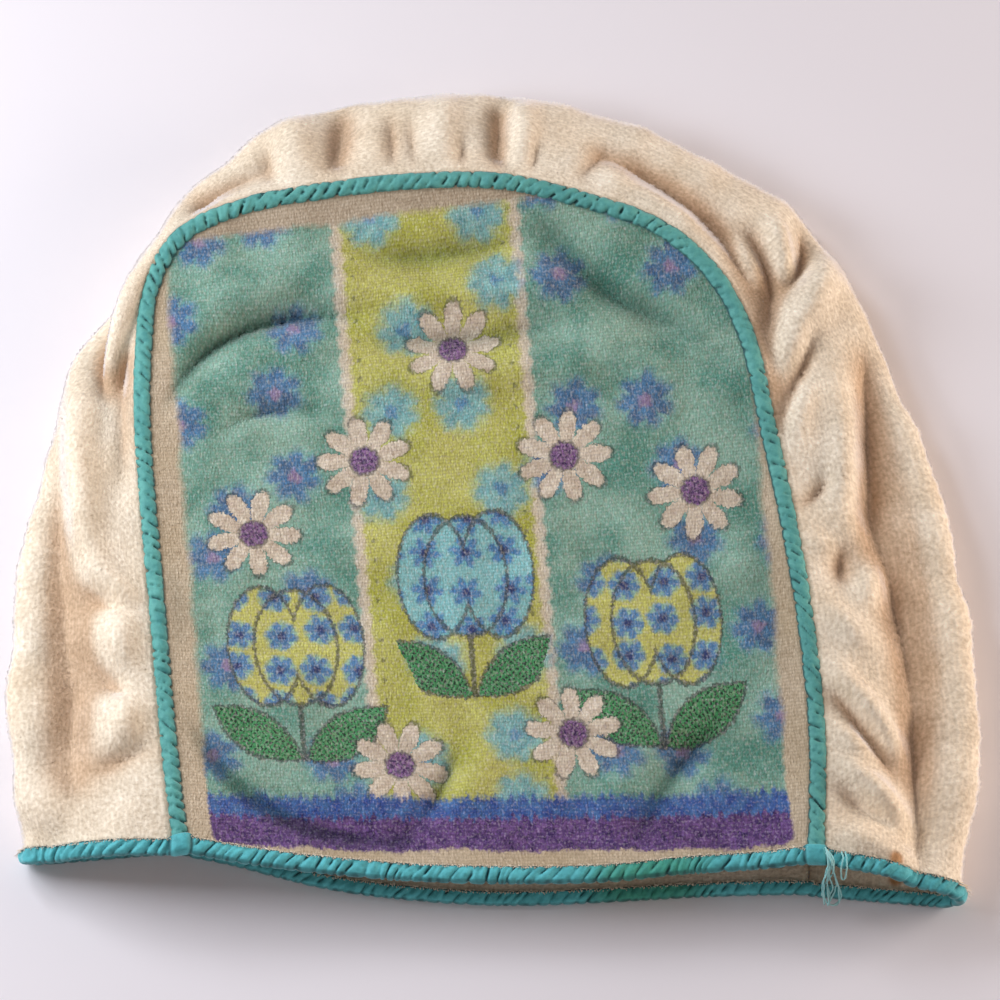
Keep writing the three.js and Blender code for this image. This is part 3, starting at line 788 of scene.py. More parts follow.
def swept_piece(
    name: str, sweeps: list[Array], closed: bool, hollow: Array | None = None
) -> bpy.types.Object:
    """A piece swept through rings of points, closed into a loop or with a cap at each end.

    Args:
        name: the piece's name.
        sweeps: for each separate part of the piece, a row of points for each ring, in millimetres.
        closed: whether the last ring joins the first.
        hollow: how strong the painted shade is at each point, from 0 to 1, or none to leave that out.

    Returns:
        The piece, with a map whose width runs along each part and whose length runs round it.
    """
    points, every, maps = [], [], []
    for number, rings in enumerate(sweeps):
        count, sides = rings.shape[:2]
        start = sum(len(part) for part in points)
        points.append(rings.reshape(-1, 3))
        i, k = np.meshgrid(np.arange(count if closed else count - 1), np.arange(sides), indexing="ij")
        here, ahead = i * sides, (i + 1) % count * sides
        after = (k + 1) % sides
        faces = np.stack([here + k, here + after, ahead + after, ahead + k], -1).reshape(-1, 4)
        every += (faces + start).tolist()
        along = np.stack([i, i, i + 1, i + 1], -1) / count
        around = np.stack([k, k + 1, k + 1, k], -1) / sides
        corners = [np.stack([along, around * ROUND_SHARE], -1).reshape(-1, 2)]
        if not closed:
            first, last = start + np.arange(sides), start + (count - 1) * sides + np.arange(sides)
            every += [first[::-1].tolist(), last.tolist()]
            turn = np.arange(sides) * 2 * np.pi / sides
            cap = np.stack([np.cos(turn), np.sin(turn)], -1) * CAP_RADIUS + CAP_AT
            corners += [cap[::-1], cap + CAP_STEP]
        maps.append((np.concatenate(corners) + (0, number)) / (1, len(sweeps)))
    maps = np.concatenate(maps)
    piece = mesh_piece(name, np.concatenate(points), every, {FLAT_MAP: maps, BAKE_MAP: maps})
    if hollow is not None:
        write_values(piece, HOLLOW, hollow)
    return piece


# ---- the cloths as they lie


@dataclass
class FrontShape:
    """How the front panel lies between its piping and its hem."""

    arch: Arch
    columns: int = 120
    rows: int = 138
    tuck: float = 1.0        # how far the sheet runs into the piping's flank
    hem_tuck: float = 6.0    # how much of the cut cloth is hidden in the tape
    ripple: float = 0.55     # the height of the small ripples
    small: Ripples = Ripples(seed=11, shortest=16, longest=46)
    print_left: float = -99.7
    print_foot: float = -2.0
    print_lean: float = 0.078
    print_slope: float = 0.131
    print_height: float = 240.0

    def cloth(self) -> ClothGrid:
        """The panel's middle, with its creases.

        Returns:
            The grid from the hem up, and from the left to the right.
        """
        inset = PIPING_RADIUS + GAP - self.tuck
        base = arch_patch(*arch_edges(self.arch.seam, inset, FRONT_HEM, self.columns, self.rows))
        u = np.linspace(0, 1, self.columns)[:, None]
        v = np.linspace(0, 1, self.rows)[None, :]
        inside = np.maximum(np.sin(np.pi * u) * np.sin(np.pi * v), 0)
        plan = base[..., :2]
        raised = sum(fold_height(c.route(), c.height, c.reach, plan) for c in FRONT_CREASES)
        # painted shade: the deeper a trough, the darker the materials paint it
        hollow = np.clip(-raised / HOLLOW_DEPTH, 0, 1)
        hollow = np.concatenate([hollow[:, :1], hollow], 1)
        raised = raised + self.ripple * self.small.at(plan)
        points = base.copy()
        points[..., 2] += raised * np.minimum(1, FOLD_FADE * inside) - PANEL_SAG * np.sqrt(inside)
        tucked = points[:, :1] - (0, TUCK, 0)
        plan = np.concatenate([plan[:, :1] - (0, self.hem_tuck), plan], 1)
        return ClothGrid(np.concatenate([tucked, points], 1), self.on_print(plan), 1.0, hollow)

    def on_print(self, plan: Array) -> Array:
        """Where places on the table's plane are on the print, which was cut a little askew."""
        x, y = plan[..., 0], plan[..., 1]
        slope = np.clip(y / self.print_height, 0, 1) * self.print_slope
        right = x - self.print_left + self.print_lean * y
        return np.stack([right, y - self.print_foot - slope * x], -1)


def arch_edges(
    line: Curve, inset: float, hem: list[HemPoint], columns: int, rows: int
) -> tuple[Array, Array, Array, Array]:
    """The edges of a panel that lies inside a line round the arch.

    Args:
        line: the line.
        inset: how far inside it the panel ends.
        hem: the points of the panel's lower edge.
        columns: how many points go along the lower and the top edge.
        rows: how many go up each side.

    Returns:
        The lower, left, top and right edges, as rows of points.
    """
    thirds = np.linspace(0, 1, rows), np.linspace(1, 2, columns), np.linspace(3, 2, rows)
    places = [Arch.places(third / 3) for third in thirds]
    left, top, right = (line.at(p) - line.outward(p) * inset for p in places)
    lower = Curve([tuple(left[0]), *hem, tuple(right[0])]).spaced(columns)
    return lower, left, top, right


def arch_patch(lower: Array, left: Array, top: Array, right: Array) -> Array:
    """A grid between a lower edge and the two sides and the top of an arch.

    Args:
        lower: the lower edge, from the left.
        left: the left side, from below.
        top: the top, from the left.
        right: the right side, from below.

    Returns:
        The grid's points, in columns from the left.
    """
    u = np.linspace(0, 1, len(lower))[:, None, None]
    v = np.linspace(0, 1, len(left))[None, :, None]
    sides = lerp(left[None], right[None], u)
    heights = lerp(lower[:, None], top[:, None], v)
    corners = lerp(lerp(lower[0], lower[-1], u), lerp(top[0], top[-1], u), v)
    return sides + heights - corners


@dataclass
class GussetShape:
    """How the gusset lies from the piping over its fold to the back seam."""

    arch: Arch
    columns: int = 360
    top_rows: int = 44
    turn_rows: int = 10      # round the fold
    under_rows: int = 22     # from the fold to the back seam
    tuck: float = 1.0        # how far the sheet runs into the piping's flank
    seam_fade: float = 9.0   # how soon a fold grows beside the piping
    plain_hem: float = 22.0  # how near the opening the folds aren't shaded
    ripple: float = 0.9      # the height of the small ripples
    small: Ripples = Ripples(seed=23, shortest=14, longest=44)

    def cloth(self) -> ClothGrid:
        """The gusset's middle, with its folds, all round the arch.

        Returns:
            The grid from the left end to the right, and from the piping to the back seam.
        """
        places = Arch.places(np.linspace(0, 1, self.columns))
        along = places[:, None] * np.ones(self.top_rows)
        across = np.linspace(0, 1, self.top_rows)[None, :] * np.ones((self.columns, 1))
        top = self.arch.gusset_top(along, across, self.tuck)
        turn, flat_rows = self.turn_rows, self.under_rows - self.turn_rows
        part = np.concatenate([np.linspace(0, 1, turn + 1)[1:], np.linspace(1, 2, flat_rows + 1)[1:]])
        along = places[:, None] * np.ones(len(part))
        under = self.arch.gusset_under(along, part[None, :] * np.ones((self.columns, 1)))
        base = np.concatenate([top, under], 1)
        cloth = ClothGrid(base, base[..., :2], 1.0)
        raised = np.zeros(base.shape[:2])
        for fold in GUSSET_FOLDS:
            route = fold.route()
            line = self.arch.gusset_top(route[:, 0] / LAST_SECTION, route[:, 1])
            raised += fold_height(line, fold.height * FOLD_GAIN, fold.reach * FOLD_REACH, base)
        # painted shade: the deeper a trough, the darker the materials paint it
        hollow = np.clip(-raised / HOLLOW_DEPTH, 0, 1)
        hollow *= np.clip(base[..., 1] / self.plain_hem - 0.25, 0, 1)
        hollow = np.concatenate([hollow[:1], hollow, hollow[-1:]])
        raised += self.ripple * self.small.at(base[..., :2])
        grown = np.minimum(1, self.seam_fade * np.linspace(0, 1, self.top_rows))
        shown = np.concatenate([grown, np.linspace(1, 0, turn), np.zeros(flat_rows)])
        points = base + cloth.normals() * (raised * shown)[..., None]
        lengths = lengths_along(points[:, self.top_rows // 2])
        across_mean = np.linalg.norm(np.diff(points, axis=1), axis=-1).mean(0)
        widths = np.concatenate([[0], np.cumsum(across_mean)])
        flat = np.stack(np.meshgrid(lengths, widths, indexing="ij"), -1)
        ends = [points[:1] - (0, TUCK, 0), points[-1:] - (0, TUCK, 0)]
        flat_ends = [flat[:1] - (TUCK, 0), flat[-1:] + (TUCK, 0)]
        return ClothGrid(
            np.concatenate([ends[0], points, ends[1]]),
            np.concatenate([flat_ends[0], flat, flat_ends[1]]),
            1.0,
            hollow,
        )


@dataclass
class BackShape:
    """How the back panel lies, flat on the table."""

    arch: Arch
    columns: int = 64
    rows: int = 72
    lift_rows: float = 2.2   # over how many rows the lift at the hem fades

    def cloth(self) -> ClothGrid:
        """The panel's middle, lifted a little where the tape wraps its hem."""
        points = arch_patch(*arch_edges(self.arch.back, GAP / 2, BACK_HEM, self.columns, self.rows))
        lift = np.exp(-((np.arange(self.rows) / self.lift_rows) ** 2))[None, :] * TAPE_LIFT
        points[..., 2] = CLOTH / 2 + lift
        points = np.concatenate([points[:, :1] - (0, TUCK, 0), points], 1)
        return ClothGrid(points, points[..., :2].copy(), -1.0)


# ---- trims


class Puckers:
    """Stitch puckers at uneven distances along a trim, with a puff between each two."""

    def __init__(self, length: float, shortest: float, longest: float, seed: int) -> None:
        """Chooses where the puckers are.

        Args:
            length: the trim's length.
            shortest: the least distance between two puckers.
            longest: the greatest.
            seed: the seed of their places.
        """
        rng = np.random.default_rng(seed)
        steps = rng.uniform(shortest, longest, int(length / shortest) + 4)
        self.places = np.cumsum(steps) - 2 * longest
        self.depths = rng.uniform(0.5, 1.0, len(steps))

    def between(self, along: Array) -> tuple[Array, Array, Array]:
        """How far between its two puckers each place is, their distance, and which of them is nearer."""
        after = np.clip(np.searchsorted(self.places, along), 1, len(self.places) - 1)
        span = self.places[after] - self.places[after - 1]
        part = np.clip((along - self.places[after - 1]) / span, 0, 1)
        return part, span, np.where(part < 0.5, after - 1, after)

    def slits(self, along: Array, width: float) -> Array:
        """How deep in a pucker's narrow slit each place is, from 0 to 1."""
        part, span, nearer = self.between(along)
        return self.depths[nearer] * np.exp(-((np.minimum(part, 1 - part) * span / width) ** 2))

    def puffs(self, along: Array) -> Array:
        """How full the trim is between its puckers, from 0 at a pucker to 1 half way."""
        part, _, _ = self.between(along)
        return np.sin(np.pi * part) ** 0.6


@dataclass(frozen=True)
class Puckering:
    """How a sewn trim is drawn together: slanted slits at uneven distances, and small wrinkles."""

    gaps: tuple[float, float]    # the least and the greatest distance between two slits
    seed: int
    slit: float              # half a slit's width
    depth: float             # of a slit, as a share of the trim's thickness
    wrinkle: float           # the same for the small wrinkles
    slant: float             # how far a slit runs along the trim as it goes across
    unsteady: float          # how much the slant changes along the trim, as a share
    slanting: Ripples        # and how
    breaks: Ripples          # where the slits are broken off
    wrinkles: Ripples
    girth: float             # how far it is across the trim, for the breaks
    fine_girth: float        # and for the wrinkles

    def slants(self, far: Array, aside: Array) -> Array:
        """How far the slits run along the trim at each point of its line, in one column."""
        return self.slant * (1 + self.unsteady * self.slanting.at(np.stack([far, aside], -1)))[:, None]

    def over(self, far: Array, wave: Array, side: Array) -> tuple[Array, Array, Array, Array]:
        """What a trim's surface is like at each of its points.

        Args:
            far: how far along the trim each ring of points is.
            wave: the same for each point, shifted by the slant.
            side: how far to one side of the trim each point of a ring is.

        Returns:
            How deep in a slit the points are, how little the slit is broken off there, how full
            the trim is, and the height of the wrinkles.
        """
        puckers = Puckers(far[-1], *self.gaps, self.seed)
        ring = far[:, None]
        breaks = self.breaks.at(np.stack(np.broadcast_arrays(ring, self.girth * side), -1))
        streaks = self.wrinkles.at(np.stack([wave, self.fine_girth * side + 0.1 * ring], -1))
        return puckers.slits(wave, self.slit), breaks, puckers.puffs(wave), streaks


PIPING_PUCKERS = Puckering(
    gaps=(3.2, 6.0), seed=31, slit=0.62, depth=0.6, wrinkle=0.1, slant=0.66, unsteady=0.8,
    slanting=Ripples(seed=9, shortest=18, longest=60),
    breaks=Ripples(seed=13, shortest=3, longest=9),
    wrinkles=Ripples(seed=15, shortest=1.7, longest=4.5),
    girth=5.0, fine_girth=1.2,
)
TAPE_PUCKERS = Puckering(
    gaps=(2.6, 5.6), seed=47, slit=0.55, depth=0.42, wrinkle=0.12, slant=3.6, unsteady=0.6,
    slanting=Ripples(seed=17, shortest=12, longest=50),
    breaks=Ripples(seed=19, shortest=4, longest=11),
    wrinkles=Ripples(seed=21, shortest=1.8, longest=5.0),
    girth=6.0, fine_girth=2.0,
)


@dataclass
class Piping:
    """The teal piping in the front seam."""

    arch: Arch
    half_width: float = 3.2
    half_height: float = 2.5
    step: float = 0.34       # between two rings of points
    sides: int = 28
    puckering: Puckering = PIPING_PUCKERS
    core: float = 0.6        # the share of its width that no pucker narrows
    wander: float = 0.14     # how far the piping bulges off its line
    wandering: Ripples = Ripples(seed=7, shortest=5, longest=18)
    smooth: float = 0.55     # how much of its wrinkling is lost where it is pulled smooth
    smooth_from: float = 60.0    # which is from here to the right
    top: float = 180.0       # and above this

    def build(self, place: Array) -> bpy.types.Object:
        """The piping as one closed tube.

        Args:
            place: what is taken off the tables' places to get the frame's.

        Returns:
            The piece.
        """
        line = self.arch.seam.at(np.linspace(0, 1, 1600))
        count = int(lengths_along(line)[-1] / self.step)
        centre = spread_evenly(line, count)
        along = unit(np.gradient(centre, axis=0))
        out = unit(np.stack([-along[:, 1], along[:, 0], np.zeros(count)], -1))
        far = lengths_along(centre)
        turns = (np.arange(self.sides) + 0.5) * 2 * np.pi / self.sides
        cos, sin = np.cos(turns)[None], np.sin(turns)[None]
        wave = far[:, None] - self.puckering.slants(far, far * 0.3) * self.half_width * cos
        pulled = np.clip((centre[:, 0] - self.smooth_from) / 20, 0, 1) * (centre[:, 1] > self.top)
        tight = 1 - self.smooth * pulled[:, None]
        shown = np.clip(sin + 0.5, 0, 1)
        loose = shown * tight
        slits, breaks, puffs, streaks = self.puckering.over(far, wave, cos)
        slits = loose * np.clip(0.6 + breaks - 0.3 * cos, 0.0, 1.0) * slits
        full = 1 - 0.1 * tight * (1 - puffs) - self.puckering.depth * slits
        full += self.puckering.wrinkle * loose * streaks
        wander = self.wander * self.wandering.at(np.stack([far, far * 0.3], -1))
        outwards = cos * (self.half_width * lerp(self.core, 1.0, full) + wander[:, None])
        upwards = sin * self.half_height * full
        rings = rings_round(centre - place, out, unit(np.cross(along, out)), outwards, upwards)
        # painted shade along the flanks, stronger outside at the top and inside on the legs, in slits and
        # wrinkles
        on_top = along[:, :1] ** 2
        strong = np.where(cos > 0, on_top, 1 - on_top)
        edge = (0.45 + 0.55 * strong) * np.clip((0.74 - sin) / 0.4, 0, 1)
        pucker = np.maximum(0.95 * slits, edge) + 0.4 * shown * np.clip(-streaks, 0, 1)
        return swept_piece("front_piping_cover", [rings], closed=False, hollow=pucker)


LIP_HEIGHT = 12.0        # the opening's edge is the front's where it is higher than this over the table
LIP_REACH = 112.0        # and nearer the middle than this
LEFT_END = 104.0         # farther to the left than this the tape is narrower at the back
FRINGE_SUNK = 0.9        # how deep in the tape's edge its fringe is rooted
RIDE_REACH = 4.0         # how far round an end of the piping the tape rides over it
FLANK_POWER = 3.2        # exponents of the tape's rounded profile, for how far out a point is
RISE_POWER = 0.42        # and how high
UPPER_PARTS = np.array([0.0, 0.06, 0.14, 0.24, 0.35, 0.47, 0.59, 0.70, 0.80, 0.88, 0.95, 1.0])


@dataclass
class HemTape:
    """The teal bias tape folded round the edge of the opening."""

    front: ClothGrid
    gusset: ClothGrid
    back: ClothGrid
    step: float = 0.37       # between two rings of points
    start: float = 0.9       # how far outside the cloth's edge the tape starts
    width: float = 5.6
    half: float = CLOTH / 2 + GAP + TAPE_WALL
    slot: float = 1.0        # half the height of the slot for the cloth
    wall: float = 1.3        # how thick the tape is at its tip, past the slot
    puckering: Puckering = TAPE_PUCKERS
    drawn: float = 0.78      # how thick the tape is at a pucker, as a share
    puff: float = 0.22       # how much thicker between two puckers
    bulge: float = 0.36      # how much thicker where it rides over the piping's ends
    rear: float = 0.2        # how much narrower at the back, as a share
    left: float = 0.2        # how much narrower still at the back's left end
    tilt: float = 0.3        # how far the front lip turns up, in radians

    def line(self) -> Array:
        """The lip's line round the opening: front, right end, back and left end.

        Returns:
            Points at even distances.
        """
        front = self.front.points[:, 1]
        right = self.gusset.points[-2]
        back = self.back.points[::-1, 1]
        left = self.gusset.points[1, ::-1]
        line = np.concatenate([front, right, back, left, front[:1]])
        keep = np.concatenate([[True], np.linalg.norm(np.diff(line, axis=0), axis=1) > 0.05])
        count = int(lengths_along(line[keep])[-1] / self.step)
        even = spread_evenly(line[keep], count + 1)[:-1]
        return rounded(even, int(3.0 / self.step))

    def stance(self, line: Array) -> tuple[Array, Array, Array]:
        """Which way the lip runs, which way it points and which way its upper face looks.

        Args:
            line: the lip's line.

        Returns:
            Three directions for each of its points.
        """
        along = unit(np.roll(line, -1, 0) - np.roll(line, 1, 0))
        above = np.clip((line[:, 2] - LIP_HEIGHT) / 6.0, 0, 1) * (np.abs(line[:, 0]) < LIP_REACH)
        tilt = rounded((self.tilt * above)[:, None], int(5.0 / self.step))[:, 0]
        out = np.stack([np.zeros(len(line)), -np.cos(tilt), np.sin(tilt)], -1)
        return along, out, unit(np.cross(out, along))

    def bump(self, line: Array, normal: Array, bumps: list[Array]) -> Array:
        """How far the tape rides over the ends of the piping at each point of its line, from 0 to 1."""
        bump = np.zeros(len(line))
        for spot in bumps:
            near = np.linalg.norm(line[:, :2] - spot[:2], axis=1)
            bump = np.maximum(bump, np.where(normal[:, 2] > 0, np.exp(-((near / RIDE_REACH) ** 6)), 0))
        return bump[:, None]

    def build(self, place: Array, bumps: list[Array]) -> bpy.types.Object:
        """The tape as one closed loop.

        Args:
            place: what is taken off the tables' places to get the frame's.
            bumps: where it rides over the ends of the piping.

        Returns:
            The piece.
        """
        line = self.line()
        along, out, normal = self.stance(line)
        far = lengths_along(line)
        rear = rounded(np.where(along[:, 0] > 0, 0.0, 1.0)[:, None], int(6.0 / self.step))
        bump = self.bump(line, normal, bumps)
        part = np.concatenate([UPPER_PARTS, UPPER_PARTS[-2::-1]])
        wave = far[:, None] + self.puckering.slants(far, line[:, 0] * 0.2) * (1 - 2 * rear) * part
        slits, breaks, puffs, streaks = self.puckering.over(far, wave, part[None])
        slits = np.clip(0.72 + 0.9 * breaks, 0.1, 1.0) * slits * (1 - bump)
        ride_edge = 4 * bump * (1 - bump)
        slits = np.maximum(slits, 0.8 * ride_edge)
        puffs = lerp(puffs, 1.0, bump)
        streaks *= 1 - bump
        middle = np.clip(part / 0.3, 0, 1) ** 0.5
        full = self.puff * puffs * (0.4 + 0.6 * middle)
        full += (self.puckering.wrinkle * streaks - self.puckering.depth * slits) * middle
        face = np.where(np.arange(len(part)) < len(UPPER_PARTS), 1.0, -1.0)
        rises = face * self.half * (1 - part**FLANK_POWER) ** RISE_POWER
        rises = rises * (self.drawn + full + self.bulge * bump)
        left_end = np.clip((-LEFT_END - line[:, :1]) / 14, 0, 1)
        width = self.width * (1 - rear * (self.rear + self.left * left_end))
        reaches = width * part * (0.94 + 0.07 * puffs - 0.05 * slits)
        reaches += self.start * (1 - bump * (1 - part))
        slot_out = np.array([0.0, 1.0, 1.0, 0.0]) * (width - self.wall) + self.start
        slot_up = np.broadcast_to(self.slot * np.array([-1.0, -0.8, 0.8, 1.0]), slot_out.shape)
        outwards, upwards = np.concatenate([reaches, slot_out], 1), np.concatenate([rises, slot_up], 1)
        rings = rings_round(line, out, normal, outwards, upwards)
        rings[..., 2] = np.maximum(rings[..., 2], 0)
        # painted shade in the slits, round the piping's ends, at the tape's root and tip and in its wrinkles
        shade = np.maximum(slits, self.edge_shade(part) * (1 - bump)) + 0.3 * np.clip(-streaks, 0, 1)
        # the slot for the cloth is wholly in painted shade
        hollow = np.concatenate([shade, np.ones_like(slot_out)], 1)
        return swept_piece("hem_tape", [rings - place], closed=True, hollow=hollow)

    @staticmethod
    def edge_shade(part: Array) -> Array:
        """The shade at the tape's root, where it meets the cloth, and at its tip, where it turns under."""
        root, tip = np.clip((0.15 - part) / 0.1, 0, 1), np.clip((part - 0.84) / 0.14, 0, 1)
        return np.where(part < 0.5, 0.95 * root, 0.62 * tip)

    def fringe(self, place: Array, seed: int) -> Spots:
        """Where the cloth's loops stand over the tape's edges, on both faces.

        Args:
            place: what is taken off the tables' places to get the frame's.
            seed: the seed of their small differences.

        Returns:
            The spots, each with the way its loop points as its normal.
        """
        rng = np.random.default_rng(seed)
        line = self.line()
        along, out, normal = self.stance(line)
        faces = [1.0, 1.0, -1.0, -1.0]
        chosen = np.repeat(np.arange(0, len(line), 2), len(faces))
        face = np.tile(faces, len(chosen) // len(faces))[:, None]
        lean = rng.uniform(0.3, 0.9, (len(chosen), 1))
        stray = rng.normal(0, 0.3, lean.shape)
        ways = unit(out[chosen] * lean + face * normal[chosen] + along[chosen] * stray)
        shift = rng.uniform(-0.7, 0.5, lean.shape) + self.start
        points = line[chosen] + out[chosen] * shift + face * normal[chosen] * (self.half - FRINGE_SUNK)
        far = lengths_along(line)[chosen]
        flat = np.stack([20 + far % 150, 10 + far % 7], -1)
        return Spots(points - place, ways, along[chosen], flat, np.zeros(len(chosen)))


def rounded(loop: Array, width: int) -> Array:
    """A closed line of points with each point moved to the mean of its neighbours.

    Args:
        loop: the line.
        width: how many neighbours count on each side.

    Returns:
        The rounded line.
    """
    window = np.hanning(2 * width + 3)[1:-1]
    window /= window.sum()
    reach = len(window) // 2
    padded = np.concatenate([loop[-reach:], loop, loop[:reach]])
    return np.stack([np.convolve(padded[:, k], window, "valid") for k in range(loop.shape[1])], -1)


THREAD_TAILS = [
    [(119.6, -4.5, 29.2), (120.6, -8, 30.6), (121, -12.2, 29.2), (120.4, -14.6, 20), (121.8, -17.5, 9.5)],
    [(119.6, -4.5, 29.2), (121.4, -8.5, 30.8), (122.6, -12.4, 28.8), (119.8, -14.5, 19), (118.4, -16.6, 12)],
    [(119.8, -5, 29.2), (122.4, -9, 30.6), (122.6, -12.6, 28), (123.6, -15, 17), (120.6, -19.4, 8.6)],
    [(119.8, -5, 29.2), (120.4, -9, 30.6), (120.6, -12.8, 28.5), (118.6, -14.8, 18), (119.6, -18.8, 8.4)],
    [(120.4, -12, 29.4), (119.2, -14.6, 21), (120.6, -18.6, 9), (124.2, -18.8, 8), (124.4, -15.4, 17)],
    [(121.6, -11.6, 29.6), (123.6, -14.4, 22), (125.2, -17.6, 10), (122, -19.2, 8), (120.2, -15.4, 18)],
    [(119.8, -7, 30.4), (121.8, -10.4, 30.6), (121, -13.4, 25), (122.4, -15.6, 16), (121, -17, 12)],
    [(125.4, -6.2, 29.4), (125.9, -9, 30.2), (125.3, -12.2, 28.6), (125.9, -14.6, 23), (126.9, -14.2, 24)],
    [(126.7, -6.2, 29.4), (127.1, -9, 30), (127.2, -12, 28.6), (126.9, -14.2, 24)],
]


@dataclass
class ThreadTails:
    """The loose ends of sewing thread where the piping ends at the right of the hem."""

    radius: float = 0.32
    sides: int = 6
    points: int = 26
    frizz: float = 0.07      # how far a point strays off its tail's curve
    askew: tuple[float, float, float] = (0.3, 0.2, 1.0)    # a direction that no tail runs along

    def build(self, place: Array) -> bpy.types.Object:
        """All the tails, joined.

        Args:
            place: what is taken off the tables' places to get the frame's.

        Returns:
            The piece.
        """
        rng = np.random.default_rng(5)
        turns = np.arange(self.sides) * 2 * np.pi / self.sides
        ring = np.stack([np.cos(turns), np.sin(turns)])[:, None] * self.radius
        tails = []
        for route in THREAD_TAILS:
            line = Curve(route).spaced(self.points)
            line[1:] += rng.normal(0, self.frizz, (self.points - 1, 3))
            along = unit(np.gradient(line, axis=0))
            side = unit(np.cross(along, self.askew))
            tails.append(rings_round(line - place, side, np.cross(along, side), *ring))
        return swept_piece("thread_tails", tails, closed=False)


# ---- finishes


def ink(red: int, green: int, blue: int) -> tuple[float, float, float, float]:
    """A linear colour from its screen values, 0 to 255."""
    linear = [((v / 255 + 0.055) / 1.055) ** 2.4 if v > 10 else v / 255 / 12.92 for v in (red, green, blue)]
    return (*linear, 1.0)


class Ink(Enum):
    """The colours of the cover."""

    CREAM = ink(246, 232, 208)
    CREAM_DEEP = ink(244, 226, 198)
    MARGIN = ink(222, 206, 180)
    MARGIN_DEEP = ink(204, 186, 156)
    # painted shade along the top of the front's margin
    MARGIN_TOP_SHADE = ink(184, 168, 146)
    TEAL = ink(146, 190, 170)
    TEAL_DEEP = ink(84, 150, 132)
    LIME = ink(206, 206, 108)
    LIME_DEEP = ink(182, 184, 70)
    STRIPE_LINE = ink(230, 214, 192)
    BLUE = ink(66, 124, 186)
    BLUE_DEEP = ink(28, 66, 138)
    AQUA = ink(140, 204, 206)
    AQUA_DEEP = ink(82, 160, 178)
    ROSE = ink(176, 140, 178)
    PETAL = ink(238, 226, 204)
    PETAL_DEEP = ink(214, 196, 174)
    HEART = ink(150, 108, 160)
    HEART_DEEP = ink(70, 44, 96)
    CUP_HALO = ink(112, 186, 196)
    CUP_HEART = ink(44, 62, 118)
    LEAF = ink(64, 150, 92)
    LEAF_DOT = ink(24, 60, 44)
    OUTLINE = ink(58, 66, 62)
    BORDER_BLUE = ink(84, 128, 186)
    BORDER_BLUE_DEEP = ink(58, 84, 158)
    BORDER_PURPLE = ink(136, 100, 164)
    BORDER_PURPLE_DEEP = ink(56, 40, 92)
    WORN = ink(226, 222, 200)
    FLECK = ink(226, 216, 226)
    STAIN = ink(196, 140, 84)
    # a painted highlight for the terry's outline
    RIM_HIGHLIGHT = ink(255, 246, 240)
    # painted shade for the folds of the cream terry and of the print
    FOLD_SHADE = ink(204, 178, 156)
    PRINT_FOLD_SHADE = ink(150, 168, 166)
    PIPING = ink(104, 182, 172)
    TAPE = ink(100, 206, 214)
    TAPE_DEEP = ink(34, 118, 122)
    # painted shade for the cotton's puckers, edges and slot
    TAPE_SHADE = ink(14, 58, 62)
    TAPE_GREEN = ink(60, 158, 122)
    THREAD = ink(176, 224, 220)


def operator(operation: str, swapped: bool = False) -> Callable[["Value", object], "Value"]:
    """A method that writes a Math node, with its two values swapped if that is asked."""

    def written(self: "Value", other: object) -> "Value":
        """The node's result."""
        return self.write.math(operation, *((other, self) if swapped else (self, other)))

    return written


@dataclass(frozen=True)
class Value:
    """A number or a vector in a shader tree, which can stand in sums."""

    write: "Nodes"
    socket: Socket

    __add__ = __radd__ = operator("ADD")
    __sub__ = operator("SUBTRACT")
    __rsub__ = operator("SUBTRACT", swapped=True)
    __mul__ = __rmul__ = operator("MULTIPLY")
    __truediv__ = operator("DIVIDE")
    __pow__ = operator("POWER")

    def __abs__(self) -> "Value":
        """The value without its sign."""
        return self.write.math("ABSOLUTE", self)


